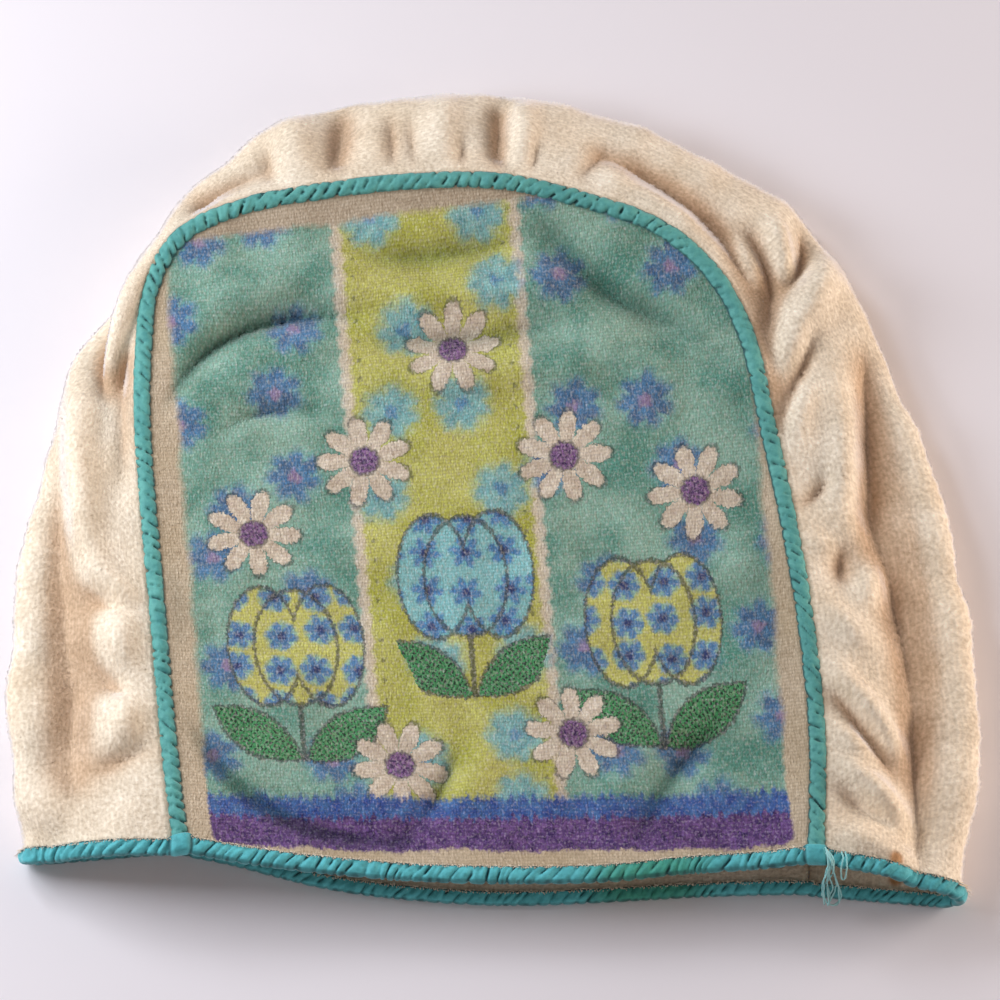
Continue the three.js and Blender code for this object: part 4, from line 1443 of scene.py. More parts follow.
class Nodes:
    """Short ways to write shader nodes in one tree."""

    def __init__(self, tree: bpy.types.NodeTree) -> None:
        """Keeps the tree to write in."""
        self.tree = tree

    def feed(self, socket: Socket, value: object) -> None:
        """Links a socket to a value, or sets it to a number, a vector or an ink."""
        if isinstance(value, Value):
            self.tree.links.new(value.socket, socket)
        elif value is not None:
            socket.default_value = value.value if isinstance(value, Ink) else value

    def add(self, kind: str, values: dict | None = None, **settings: object) -> bpy.types.Node:
        """A new node of a kind, with its settings, and values for its inputs by number or name."""
        node = self.tree.nodes.new(kind)
        for name, setting in settings.items():
            setattr(node, name, setting)
        for key, value in (values or {}).items():
            self.feed(node.inputs[key], value)
        return node

    def math(self, operation: str, a: object, b: object = None) -> Value:
        """A Math node's result, or a Vector Math node's if one of the two is a vector."""
        wide = any(isinstance(value, Value) and value.socket.type != "VALUE" for value in (a, b))
        kind = "ShaderNodeVectorMath" if wide else "ShaderNodeMath"
        node = self.add(kind, {0: a, 1: b}, operation=operation)
        return Value(self, node.outputs[1 if operation in ("LENGTH", "DISTANCE") else 0])

    def mix(self, part: object, a: object, b: object, blend: str = "MIX") -> Value:
        """Two colours mixed."""
        node = self.add("ShaderNodeMix", {0: part, 6: a, 7: b}, data_type="RGBA", blend_type=blend)
        return Value(self, node.outputs[2])

    def choose(self, part: object, a: object, b: object) -> Value:
        """Two vectors mixed."""
        return Value(self, self.add("ShaderNodeMix", {0: part, 4: a, 5: b}, data_type="VECTOR").outputs[1])

    def ramp(self, value: object, low: object, high: object) -> Value:
        """A soft step from 0 at low to 1 at high."""
        node = self.add("ShaderNodeMapRange", {0: value, 1: low, 2: high}, interpolation_type="SMOOTHSTEP")
        return Value(self, node.outputs[0])

    def noise(self, place: object, scale: float, detail: float = 2.0, colour: bool = False) -> Value:
        """A Noise Texture's value, or its three values."""
        node = self.add("ShaderNodeTexNoise", {"Vector": place, "Scale": scale, "Detail": detail})
        return Value(self, node.outputs[1 if colour else 0])

    def patches(
        self, place: object, scale: float, detail: float = 2.0, low: float = 0.3, high: float = 0.7
    ) -> Value:
        """Soft patches, from 0 where the noise is low to 1 where it is high."""
        return self.ramp(self.noise(place, scale, detail), low, high)

    def wobbled(self, place: Value, scale: float, reach: tuple[float, float]) -> Value:
        """A place, moved about by noise by up to half of a reach."""
        return (self.noise(place, scale, 2.0, colour=True) - (0.5, 0.5, 0.5)) * (*reach, 0.0) + place

    def split(self, place: Value) -> list[Value]:
        """The X, Y and Z of a vector."""
        return [Value(self, socket) for socket in self.add("ShaderNodeSeparateXYZ", {0: place}).outputs]

    def join(self, x: object, y: object, z: object = 0.0) -> Value:
        """A vector from X, Y and Z."""
        return Value(self, self.add("ShaderNodeCombineXYZ", {0: x, 1: y, 2: z}).outputs[0])

    def far(self, x: object, y: object) -> Value:
        """How far X and Y are from zero."""
        return self.math("LENGTH", self.join(x, y))

    def read(self, kind: str, output: str, **settings: object) -> Value:
        """What a node without inputs gives at a point."""
        return Value(self, self.add(kind, **settings).outputs[output])

    def group(self, tree: bpy.types.NodeTree, **values: object) -> dict[str, Value]:
        """A node group's results by name, with values for its inputs by theirs."""
        node = self.add("ShaderNodeGroup", values, node_tree=tree)
        return {socket.name: Value(self, socket) for socket in node.outputs}


def new_group(name: str, inputs: dict[str, object], outputs: dict[str, str]) -> tuple[Nodes, dict, dict]:
    """A shader node group with named sockets.

    Args:
        name: the group's name.
        inputs: each input's first value, by its name; a tuple makes a vector or a colour.
        outputs: each output's kind, by its name.

    Returns:
        A writer for its tree, the values of its inputs and its outputs' sockets, by name.
    """
    tree = bpy.data.node_groups.new(name, "ShaderNodeTree")
    kinds = {3: "Vector", 4: "Color"}
    for title, value in inputs.items():
        kind = "Float" if isinstance(value, float) else kinds[len(value)]
        socket = tree.interface.new_socket(name=title, in_out="INPUT", socket_type=f"NodeSocket{kind}")
        socket.default_value = value
    for title, kind in outputs.items():
        tree.interface.new_socket(name=title, in_out="OUTPUT", socket_type=f"NodeSocket{kind}")
    write = Nodes(tree)
    entry, leave = write.add("NodeGroupInput"), write.add("NodeGroupOutput")
    return write, {s.name: Value(write, s) for s in entry.outputs}, {s.name: s for s in leave.inputs}


def petal_flower() -> bpy.types.NodeTree:
    """The group for a round flower of petals, used for the daisies and for the blue blossoms.

    Returns:
        The group.
    """
    write, given, give = new_group(
        "Petal flower",
        {"Place": (0.0, 0.0, 0.0), "Petals": 8.0, "Radius": 10.0, "Notch": 0.2, "Roundness": 0.5,
         "Softness": 0.5, "Turn": 0.0},
        {"Petals": "Float", "Distance": "Float"},
    )
    x, y, _ = write.split(given["Place"])
    angle = write.math("ARCTAN2", y, x) + given["Turn"]
    lobe = abs(write.math("COSINE", angle * (given["Petals"] * 0.5))) ** given["Roundness"]
    edge = given["Radius"] * (lobe * (1.0 - given["Notch"]) + given["Notch"])
    far = write.far(x, y)
    write.feed(give["Petals"], write.ramp(edge - far, given["Softness"] * -1.0, given["Softness"]))
    write.feed(give["Distance"], far)
    return write.tree


def loop_tone() -> bpy.types.NodeTree:
    """The group for how a pile's colour changes from loop to loop, in soft patches and by painted root shade.

    Returns:
        The group.
    """
    write, given, give = new_group(
        "Loop tone",
        {"Place": (0.0, 0.0, 0.0), "Colour": (1.0, 1.0, 1.0, 1.0), "Root": 0.88, "Uneven": 0.08,
         "Up": 1.0, "Grain": (1.4, 0.4, 1.0)},
        {"Colour": "Color"},
    )
    each = write.noise(given["Place"] * given["Grain"], 1.0, 1.5) - 0.5
    patch = write.noise(given["Place"], 0.06) - 0.5
    tone = (each + patch * 0.6) * (given["Uneven"] * 2.0) + 1.0
    # painted shade: each loop is darker towards its root, and warmer where it is darker
    shade = tone * (given["Up"] * (1.0 - given["Root"]) + given["Root"])
    warm = write.join(shade, shade ** GREEN_FADE, shade ** BLUE_FADE)
    write.feed(give["Colour"], write.mix(1.0, given["Colour"], warm, "MULTIPLY"))
    return write.tree


@dataclass
class Shared:
    """The groups that more than one finish uses."""

    flower: bpy.types.NodeTree = field(default_factory=petal_flower)
    tone: bpy.types.NodeTree = field(default_factory=loop_tone)


@dataclass(frozen=True)
class Surface:
    """How matt and how furry a cloth is, and how its grain stands."""

    roughness: float
    sheen: float
    sheen_tint: tuple[float, float, float, float]
    specular: float
    bump: float
    depth: float             # of the grain, in metres

    def put_on(self, write: Nodes, shader: bpy.types.Node, colour: Value, grain: Value) -> None:
        """Gives a shader this surface, with its colour and the height of its grain.

        Args:
            write: the writer of the material's tree.
            shader: the shader.
            colour: the colour over the surface.
            grain: how high the grain stands.
        """
        bump = write.add("ShaderNodeBump", {"Strength": self.bump, "Distance": self.depth, "Height": grain})
        values = {
            "Base Color": colour,
            "Roughness": self.roughness,
            "Sheen Weight": self.sheen,
            "Sheen Roughness": 0.4,
            "Sheen Tint": self.sheen_tint,
            "Specular IOR Level": self.specular,
            "Normal": Value(write, bump.outputs[0]),
        }
        for name, value in values.items():
            write.feed(shader.inputs[name], value)


TERRY = Surface(0.95, 1.0, (1.0, 0.95, 0.92, 1.0), 0.15, 0.8, 0.0006)
COTTON = Surface(0.66, 0.3, (1.0, 1.0, 1.0, 1.0), 0.4, 0.7, 0.0004)


def new_material(name: str) -> tuple[bpy.types.Material, Nodes, bpy.types.Node]:
    """A material with its writer and its shader."""
    material = bpy.data.materials.new(name)
    material.use_nodes = True
    return material, Nodes(material.node_tree), material.node_tree.nodes["Principled BSDF"]


def flat_place(write: Nodes, size: tuple[float, float]) -> Value:
    """Where a point lies on the flat cut cloth, in millimetres."""
    return write.read("ShaderNodeUVMap", "UV", uv_map=FLAT_MAP) * (*size, 1.0)


def loop_height(write: Nodes, loops: bool) -> object:
    """How far up its loop a point is, 0 at the root to 1 at the tip, and 0 all over a sheet."""
    return write.read("ShaderNodeAttribute", "Fac", attribute_name=UP_THE_LOOP) if loops else 0.0


def with_painted_shade(write: Nodes, colour: Value, strength: float, tint: Ink) -> Value:
    """A colour with painted shade, darker deep in the folds and right beside the piping."""
    hollow = write.ramp(write.read("ShaderNodeAttribute", "Fac", attribute_name=HOLLOW), 0.0, 1.0)
    return write.mix(hollow * strength, colour, tint, "MULTIPLY")


def in_rows(write: Nodes, colour: Value, place: Value, depth: float) -> Value:
    """A colour, a little darker between the rows in which the loops are woven."""
    height = write.split(place)[1] * (2 * math.pi / ROW_PITCH)
    wandering = write.noise(place, 0.12, 1.0) * ROW_WANDER + height
    ridge = write.math("SINE", wandering) * depth + 0.97
    return write.mix(1.0, colour, write.join(ridge, ridge, ridge), "MULTIPLY")


class Stain(NamedTuple):
    """A faint mark on the cloth, in the frame's metres."""

    x: float
    y: float
    radius: float
    strength: float


STAINS = [Stain(0.144, -0.1415, 0.0024, 0.85), Stain(0.054, -0.1325, 0.004, 0.3)]


def stained(write: Nodes, colour: Value) -> Value:
    """A colour with the cover's marks over it."""
    x, y, _ = write.split(write.read("ShaderNodeTexCoord", "Object"))
    for mark in STAINS:
        part = write.ramp(write.far(x - mark.x, y - mark.y), mark.radius * 1.5, mark.radius * 0.5)
        colour = write.mix(part * mark.strength, colour, Ink.STAIN)
    return colour


@dataclass(frozen=True)
class TerryFinish:
    """Plain cream terry, on a sheet or on its loops."""

    shared: Shared
    size: tuple[float, float]
    loops: bool
    grain: tuple[float, float, float] = (0.62, 0.8, 1.0)

    def material(self, name: str) -> bpy.types.Material:
        """The material.

        Args:
            name: the material's name.

        Returns:
            The new material.
        """
        material, write, shader = new_material(name)
        place = flat_place(write, self.size)
        colour = write.mix(write.patches(place, 0.035, 3.0, 0.35, 0.7), Ink.CREAM, Ink.CREAM_DEEP)
        colour = in_rows(write, stained(write, colour), place, 0.035)
        # painted shade, darker in the folds and beside the piping
        colour = with_painted_shade(write, colour, 0.75, Ink.FOLD_SHADE)
        up = loop_height(write, self.loops)
        # painted shade at each loop's root
        toned = write.group(self.shared.tone, Place=place, Colour=colour, Up=up, Root=0.97, Uneven=0.42,
                            Grain=self.grain)
        # painted highlight: the colour turns nearly white where the cloth is seen edge on, along the outline
        rim = write.ramp(write.read("ShaderNodeLayerWeight", "Facing"), 0.48, 0.9)
        pale = write.mix(rim, toned["Colour"], Ink.RIM_HIGHLIGHT)
        TERRY.put_on(write, shader, pale, write.noise(place * self.grain, 1.0))
        return material


@dataclass(frozen=True)
class CottonFinish:
    """Dyed cotton bias tape: mottled, greener in a patch if asked, with painted shade in puckers and edges.
    """

    colour: Ink
    deep: Ink
    patch: bool = False
    patch_at: float = 0.056  # metres to the right of the middle
    weave_scale: float = 2600.0

    def material(self, name: str) -> bpy.types.Material:
        """The material.

        Args:
            name: the material's name.

        Returns:
            The new material.
        """
        material, write, shader = new_material(name)
        place = write.read("ShaderNodeTexCoord", "Object")
        cloudy = write.patches(place, 90.0, 3.0, 0.3, 0.75)
        colour = write.mix(cloudy, self.colour, write.mix(0.35, self.colour, self.deep))
        if self.patch:
            near = write.ramp(abs(write.split(place)[0] - self.patch_at), 0.030, 0.008)
            colour = write.mix(near * 0.8, colour, Ink.TAPE_GREEN)
        colour = write.mix(write.patches(place, 420.0, 2.0, 0.42, 0.68) * 0.3, colour, self.deep)
        weave = write.noise(place, self.weave_scale, 1.0)
        colour = write.mix(weave * 0.25, colour, self.deep)
        # painted shade in the puckers and wrinkles, along the edges and in the tape's slot
        pucker = write.ramp(write.read("ShaderNodeAttribute", "Fac", attribute_name=HOLLOW), 0.25, 0.95)
        colour = write.mix(pucker * 0.85, colour, Ink.TAPE_SHADE)
        COTTON.put_on(write, shader, colour, weave * 0.3 + write.noise(place, 650.0, 1.0))
        return material


class Motif(NamedTuple):
    """The middle of a flower on the print, and how far it is turned."""

    x: float
    y: float
    turn: float = 0.0


DAISIES = [
    Motif(70, 33, 0.2),
    Motif(133, 44, 0.5),
    Motif(24, 126, 0.1),
    Motif(66, 152, 0.4),
    Motif(138, 148, 0.0),
    Motif(184, 131, 0.3),
    Motif(101, 192, 0.6),
]
TULIPS = [Motif(36, 80), Motif(99, 105), Motif(165, 84)]


@dataclass(frozen=True)
class PrintPlan:
    """The sizes of the print, in millimetres on the flat cloth from its lower left corner."""

    width: float = 208.0
    height: float = 244.5
    corner: float = 5.5
    purple_top: float = 12.5
    blue_top: float = 20.0
    stripe_left: float = 62.0
    stripe_right: float = 127.0
    divider: float = 1.9
    scallop: float = 7.8
    dot_inset: float = 5.0
    daisy: float = 18.5
    daisy_outline: float = 1.5
    daisy_petals: float = 9.0
    daisy_heart: float = 4.9
    blossom: float = 10.2
    blossom_cell: float = 33.0
    small_blossom: float = 6.0
    small_cell: float = 14.0
    cup_middle: tuple[float, float] = (15.0, 23.0)
    cup_side: tuple[float, float] = (13.0, 24.0)
    cup_side_at: tuple[float, float] = (11.5, 0.5)
    stem: tuple[float, float] = (-47.0, -19.0)
    leaf_at: tuple[float, float] = (16.0, -35.0)
    leaf: tuple[float, float] = (19.0, 8.5)
    leaf_turn: float = 0.62
    leaf_dots: float = 1.9   # turns of the dots' wave in each millimetre, in radians


@dataclass(frozen=True)
class PrintedTerry:
    """Terry printed with three stripes, daisies, tulips and soft blossoms above a purple border."""

    shared: Shared
    size: tuple[float, float]
    low: tuple[float, float]
    loops: bool
    plan: PrintPlan = PrintPlan()

    def material(self, name: str) -> bpy.types.Material:
        """The material.

        Args:
            name: the material's name.

        Returns:
            The new material.
        """
        material, write, shader = new_material(name)
        cloth = flat_place(write, self.size) + (*self.low, 0.0)
        place = write.wobbled(cloth, 0.75, (2.6, 3.4))
        colour = self.stripes(write, place)
        for layer in (self.blossoms, self.tulips, self.daisies):
            colour = layer(write, place, colour)
        worn = write.patches(cloth * (1.3, 0.6, 1.0), 0.9, 2.0, 0.45, 0.8) * 0.34 + 0.02
        colour = self.border(write, place, write.mix(worn, colour, Ink.WORN))
        colour = write.mix(write.patches(cloth, 1.0, 1.0, 0.48, 0.72) * 0.24, colour, Ink.FLECK)
        colour = write.mix(self.extent(write, place), self.margin(write, cloth), colour)
        # painted shade, darker in the folds and beside the piping
        colour = with_painted_shade(write, in_rows(write, colour, cloth, 0.075), 0.9, Ink.PRINT_FOLD_SHADE)
        up = loop_height(write, self.loops)
        # painted shade at each loop's root
        toned = write.group(self.shared.tone, Place=cloth, Colour=colour, Up=up, Uneven=0.42, Root=0.85)
        TERRY.put_on(write, shader, toned["Colour"], write.noise(cloth * (1.4, 0.5, 1.0), 1.0))
        return material

    def margin(self, write: Nodes, cloth: Value) -> Value:
        """The unprinted cream round the print, with painted shade that greys it along the top."""
        top = write.ramp(write.split(cloth)[1], 228.0, 248.0)
        plain = write.mix(write.patches(cloth, 0.03), Ink.MARGIN, Ink.MARGIN_DEEP)
        return write.mix(top * 0.7, plain, Ink.MARGIN_TOP_SHADE)

    def past_stripe(self, write: Nodes, place: Value) -> Value:
        """How far outside the middle stripe a point lies, below 0 on it."""
        left, right = self.plan.stripe_left, self.plan.stripe_right
        return abs(write.split(place)[0] - (left + right) / 2) - (right - left) / 2

    def stripes(self, write: Nodes, place: Value) -> Value:
        """The three stripes with a scalloped cream line on each side of the middle one.

        Args:
            write: the writer of the material's tree.
            place: a point's place on the print.

        Returns:
            The stripes' colour.
        """
        y = write.split(place)[1]
        cloud = write.patches(place, 0.045, 3.0, 0.35, 0.68)
        teal = write.mix(cloud, Ink.TEAL, Ink.TEAL_DEEP)
        lime = write.mix(cloud, Ink.LIME, Ink.LIME_DEEP)
        off = self.past_stripe(write, place)
        colour = write.mix(write.ramp(off, 1.0, -1.0), teal, lime)
        wave = abs(write.math("SINE", y * (math.pi / self.plan.scallop)))
        near = abs(off) - (wave * 1.3 + (self.plan.divider - 1.0))
        colour = write.mix(write.ramp(near, 1.3, -0.9) * 0.86, colour, Ink.STRIPE_LINE)
        half = self.plan.scallop / 2
        dot = write.far(off + self.plan.dot_inset, write.math("PINGPONG", y, half) - half)
        return write.mix(write.ramp(dot, 1.1, 0.4) * 0.55, colour, Ink.OUTLINE)

    def cells(self, write: Nodes, place: Value, cell: float, stray: float) -> Value:
        """Where a point lies from the middle of the nearest of many scattered spots."""
        spots = write.add("ShaderNodeTexVoronoi", {"Vector": place, "Scale": 1 / cell, "Randomness": stray},
                          voronoi_dimensions="2D", feature="F1")
        return place - Value(write, spots.outputs["Position"])

    def blossoms(self, write: Nodes, place: Value, colour: Value) -> Value:
        """Soft blue blossoms scattered over the stripes, each with a rosy heart and a pale halo.

        Args:
            write: the writer of the material's tree.
            place: a point's place on the print.
            colour: the colour under this layer.

        Returns:
            The colour with this layer over it.
        """
        radius = self.plan.blossom
        cells = self.cells(write, write.wobbled(place, 0.35, (5.0, 5.0)), self.plan.blossom_cell, 0.62)
        flower = write.group(self.shared.flower, Place=cells, Petals=7.0, Radius=radius, Notch=0.6,
                             Roundness=0.7, Softness=2.6, Turn=0.4)
        far = flower["Distance"]
        colour = write.mix(write.ramp(far, radius * 1.35, radius * 0.5) * 0.5, colour, Ink.AQUA)
        wash = write.patches(place, 0.22, 3.0)
        on_lime = write.ramp(self.past_stripe(write, place), 1.0, -1.0)
        blue, aqua = write.mix(wash, Ink.BLUE, Ink.BLUE_DEEP), write.mix(wash, Ink.AQUA, Ink.AQUA_DEEP)
        colour = write.mix(flower["Petals"] * 0.8, colour, write.mix(on_lime, blue, aqua))
        return write.mix(write.ramp(far, 3.4, 1.2) * 0.65, colour, write.mix(on_lime, Ink.ROSE, Ink.BLUE))

    def nearest(self, write: Nodes, place: Value, spots: list[Motif]) -> Value:
        """Where a point lies from the nearest of some chosen spots, with that spot's turn as its Z.

        Args:
            write: the writer of the material's tree.
            place: a point's place on the print.
            spots: the chosen spots.

        Returns:
            The offset and the turn, as one vector.
        """
        best_offset, best_far = None, None
        for spot in spots:
            offset = place - (spot.x, spot.y, -spot.turn)
            far = write.math("DISTANCE", place, (spot.x, spot.y, 0.0))
            if best_far is not None:
                offset = write.choose(write.math("LESS_THAN", far, best_far), best_offset, offset)
                far = write.math("MINIMUM", far, best_far)
            best_offset, best_far = offset, far
        return best_offset

    def daisies(self, write: Nodes, place: Value, colour: Value) -> Value:
        """Cream daisies with thin dark outlines and speckled purple hearts.

        Args:
            write: the writer of the material's tree.
            place: a point's place on the print.
            colour: the colour under this layer.

        Returns:
            The colour with this layer over it.
        """
        plan = self.plan
        offset = self.nearest(write, place * (1.0, 1.0, 0.0), DAISIES)
        shape = dict(Place=offset, Petals=plan.daisy_petals, Notch=0.16, Roundness=0.42,
                     Turn=write.split(offset)[2])
        outer = write.group(self.shared.flower, **shape, Radius=plan.daisy, Softness=0.8)
        inner = write.group(self.shared.flower, **shape, Radius=plan.daisy - plan.daisy_outline, Softness=0.6)
        far, heart = outer["Distance"], plan.daisy_heart
        colour = write.mix(outer["Petals"] * 0.66, colour, Ink.OUTLINE)
        petals = write.mix(write.patches(place, 0.3), Ink.PETAL, Ink.PETAL_DEEP)
        colour = write.mix(inner["Petals"], colour, petals)
        colour = write.mix(write.ramp(far, heart + 1.4, heart + 0.4) * 0.7, colour, Ink.OUTLINE)
        speckled = write.mix(write.patches(place, 0.9, 1.0, 0.4, 0.62), Ink.HEART, Ink.HEART_DEEP)
        return write.mix(write.ramp(far, heart + 0.5, heart - 0.5), colour, speckled)

    def tulips(self, write: Nodes, place: Value, colour: Value) -> Value:
        """Three tulips, whose cups are filled with small blue blossoms, with dotted green leaves.

        Args:
            write: the writer of the material's tree.
            place: a point's place on the print.
            colour: the colour under this layer.

        Returns:
            The colour with this layer over it.
        """
        plan = self.plan
        x, y, _ = write.split(self.nearest(write, place, TULIPS))
        colour = self.stem_and_leaves(write, abs(x), y, colour)
        (side_x, side_y), (wide, high) = plan.cup_side_at, plan.cup_side
        side = write.far((abs(x) - side_x) / wide, (y - side_y) / high)
        middle = write.far(x / plan.cup_middle[0], y / plan.cup_middle[1])
        cup = write.math("MINIMUM", side, middle)
        colour = write.mix(write.ramp(cup, 1.03, 0.97), colour, self.cup_fill(write, place))
        rim = write.math("MINIMUM", abs(side - 1.0), abs(middle - 1.0))
        line = write.ramp(rim, 0.065, 0.02) * write.ramp(cup, 1.08, 1.02)
        return write.mix(line * 0.75, colour, Ink.OUTLINE)

    def cup_fill(self, write: Nodes, place: Value) -> Value:
        """The small blue blossoms in the tulips' cups, each with a pale halo and a dark heart.

        Args:
            write: the writer of the material's tree.
            place: a point's place on the print.

        Returns:
            The blossoms' and the ground's colour.
        """
        ground = write.mix(write.ramp(self.past_stripe(write, place), 4.0, -2.0), Ink.LIME, Ink.AQUA)
        cells = self.cells(write, place, self.plan.small_cell, 0.25)
        flower = write.group(self.shared.flower, Place=cells, Petals=6.0, Radius=self.plan.small_blossom,
                             Notch=0.38, Roundness=0.8, Softness=1.2, Turn=0.2)
        fill = write.mix(write.ramp(flower["Distance"], 6.8, 4.6) * 0.7, ground, Ink.CUP_HALO)
        fill = write.mix(flower["Petals"] * 0.85, fill, Ink.BLUE)
        return write.mix(write.ramp(flower["Distance"], 2.6, 0.8), fill, Ink.CUP_HEART)

    def stem_and_leaves(self, write: Nodes, fold: Value, y: Value, colour: Value) -> Value:
        """A dark stem under each cup, with a dotted leaf on each side.

        Args:
            write: the writer of the material's tree.
            fold: how far a point is to either side of the tulip's middle.
            y: how far it is above it.
            colour: the colour under this layer.

        Returns:
            The colour with this layer over it.
        """
        plan = self.plan
        foot, top = plan.stem
        between = write.ramp(y, top + 1, top - 1) * write.ramp(y, foot - 1, foot + 1)
        stem = write.ramp(fold, 1.3, 0.6) * between
        colour = write.mix(stem * 0.8, colour, Ink.OUTLINE)
        cos, sin = math.cos(plan.leaf_turn), math.sin(plan.leaf_turn)
        right, above = fold - plan.leaf_at[0], y - plan.leaf_at[1]
        along, across = right * cos + above * sin, above * cos - right * sin
        far = along / plan.leaf[0]
        inside = (1.0 - far * far) * plan.leaf[1] - abs(across)
        dots = write.math("SINE", along * plan.leaf_dots) * write.math("SINE", across * plan.leaf_dots)
        leaf = write.mix(write.ramp(abs(dots), 0.45, 0.75), Ink.LEAF, Ink.LEAF_DOT)
        colour = write.mix(write.ramp(inside, -0.9, 0.1) * 0.8, colour, Ink.OUTLINE)
        return write.mix(write.ramp(inside, 0.3, 1.2), colour, leaf)

    def border(self, write: Nodes, place: Value, colour: Value) -> Value:
        """The purple border along the bottom, with a ragged blue edge above it.

        Args:
            write: the writer of the material's tree.
            place: a point's place on the print.
            colour: the colour under this layer.

        Returns:
            The colour with this layer over it.
        """
        x, y, _ = write.split(place)
        ragged = write.noise(write.join(x, 0.0), 0.5) * 11.0 + y
        wash = write.patches(place, 0.25, 3.0)
        blue = write.mix(wash, Ink.BORDER_BLUE, Ink.BORDER_BLUE_DEEP)
        high, low = self.plan.blue_top, self.plan.purple_top
        colour = write.mix(write.ramp(ragged, high + 7.5, high + 4.0), colour, blue)
        mottle = write.mix(0.5, wash, write.patches(place, 0.7, 2.0, 0.36, 0.64))
        purple = write.mix(mottle, Ink.BORDER_PURPLE, Ink.BORDER_PURPLE_DEEP)
        return write.mix(write.ramp(ragged, low + 6.5, low + 4.5), colour, purple)

    def extent(self, write: Nodes, place: Value) -> Value:
        """Where the print is, with rounded corners and a slightly wavy edge.

        Args:
            write: the writer of the material's tree.
            place: a point's place on the print.

        Returns:
            A mask, 1 on the print and 0 on the margin.
        """
        plan = self.plan
        place = write.wobbled(place, 0.05, (5.0, 5.0))
        off = abs(place - (plan.width / 2, plan.height / 2, 0.0))
        past = off - (plan.width / 2 - plan.corner, plan.height / 2 - plan.corner, 0.0)
        far = write.math("LENGTH", write.math("MAXIMUM", past, (0.0, 0.0, 0.0)) * (1.0, 1.0, 0.0))
        soft = write.ramp(write.split(place)[1], 18.0, 60.0) * 1.3 + 0.8
        return write.ramp(far, plan.corner + soft, plan.corner - soft)


# ---- assemblies


PRINTED_TERRY = "printed_terry"
CREAM_TERRY = "cream_terry"
BODY = "root"


def dress(piece: bpy.types.Object, material: bpy.types.Material) -> None:
    """Gives a piece its material, and lets it ride on the cover's body."""
    piece.data.materials.append(material)
    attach(piece, BODY)
    LOG.info("%s: %d triangles", piece.name, triangles(piece))


def triangles(piece: bpy.types.Object) -> int:
    """How many triangles a piece has."""
    return sum(len(face.vertices) - 2 for face in piece.data.polygons)


@dataclass
class ClothPiece:
    """One cloth: its sheet and the piles on its faces."""

    name: str
    node: str
    slot: str
    cloth: ClothGrid
    piles: dict[str, Loops]
    seed: int
    sheet: bpy.types.Object | None = None
    made_piles: list[bpy.types.Object] = field(default_factory=list)

    def build(self, lip: Array, seam: Array) -> None:
        """Makes the sheet, and each pile over the part of the cloth it covers.

        Args:
            lip: the opening's edge, where the tape covers the cloth.
            seam: the piping's line.
        """
        self.sheet = sheet_piece(self.name, self.cloth, SHEET)
        rng = np.random.default_rng(self.seed)
        for number, (title, loops) in enumerate(self.piles.items()):
            face = self.cloth.turned() if loops.inner else self.cloth
            spots = face.spots(loops.pitch, LOOP_STRAY, rng).between(lip, BARE_AT_TAPE, loops.within)
            spots = spots.between(seam, BARE_AT_SEAM, ANYWHERE)
            self.made_piles.append(pile_piece(title, face, spots, loops, self.seed + number))

    def dress(self, finish: Callable[[tuple[float, float], bool], object]) -> None:
        """Finishes the sheet and its piles, and hides the frame's solid that the sheet replaces.

        Args:
            finish: makes the finish for a size of cloth, for its sheet or, if true, for its loops.
        """
        size = tuple(float(side) for side in self.cloth.cut_size())
        sheet, pile = (
            finish(size, loops).material(f"{self.slot}_{self.name}_{kind}")
            for loops, kind in ((False, "sheet"), (True, "pile"))
        )
        dress(self.sheet, sheet)
        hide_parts(self.node)
        for piece in self.made_piles:
            dress(piece, pile)

    def declare(self) -> None:
        """Works out the sheet's area and its cut size, and does nothing with them."""
        width, length = (float(side) * MM for side in self.cloth.cut_size())
        min(self.cloth.area(), width * length)


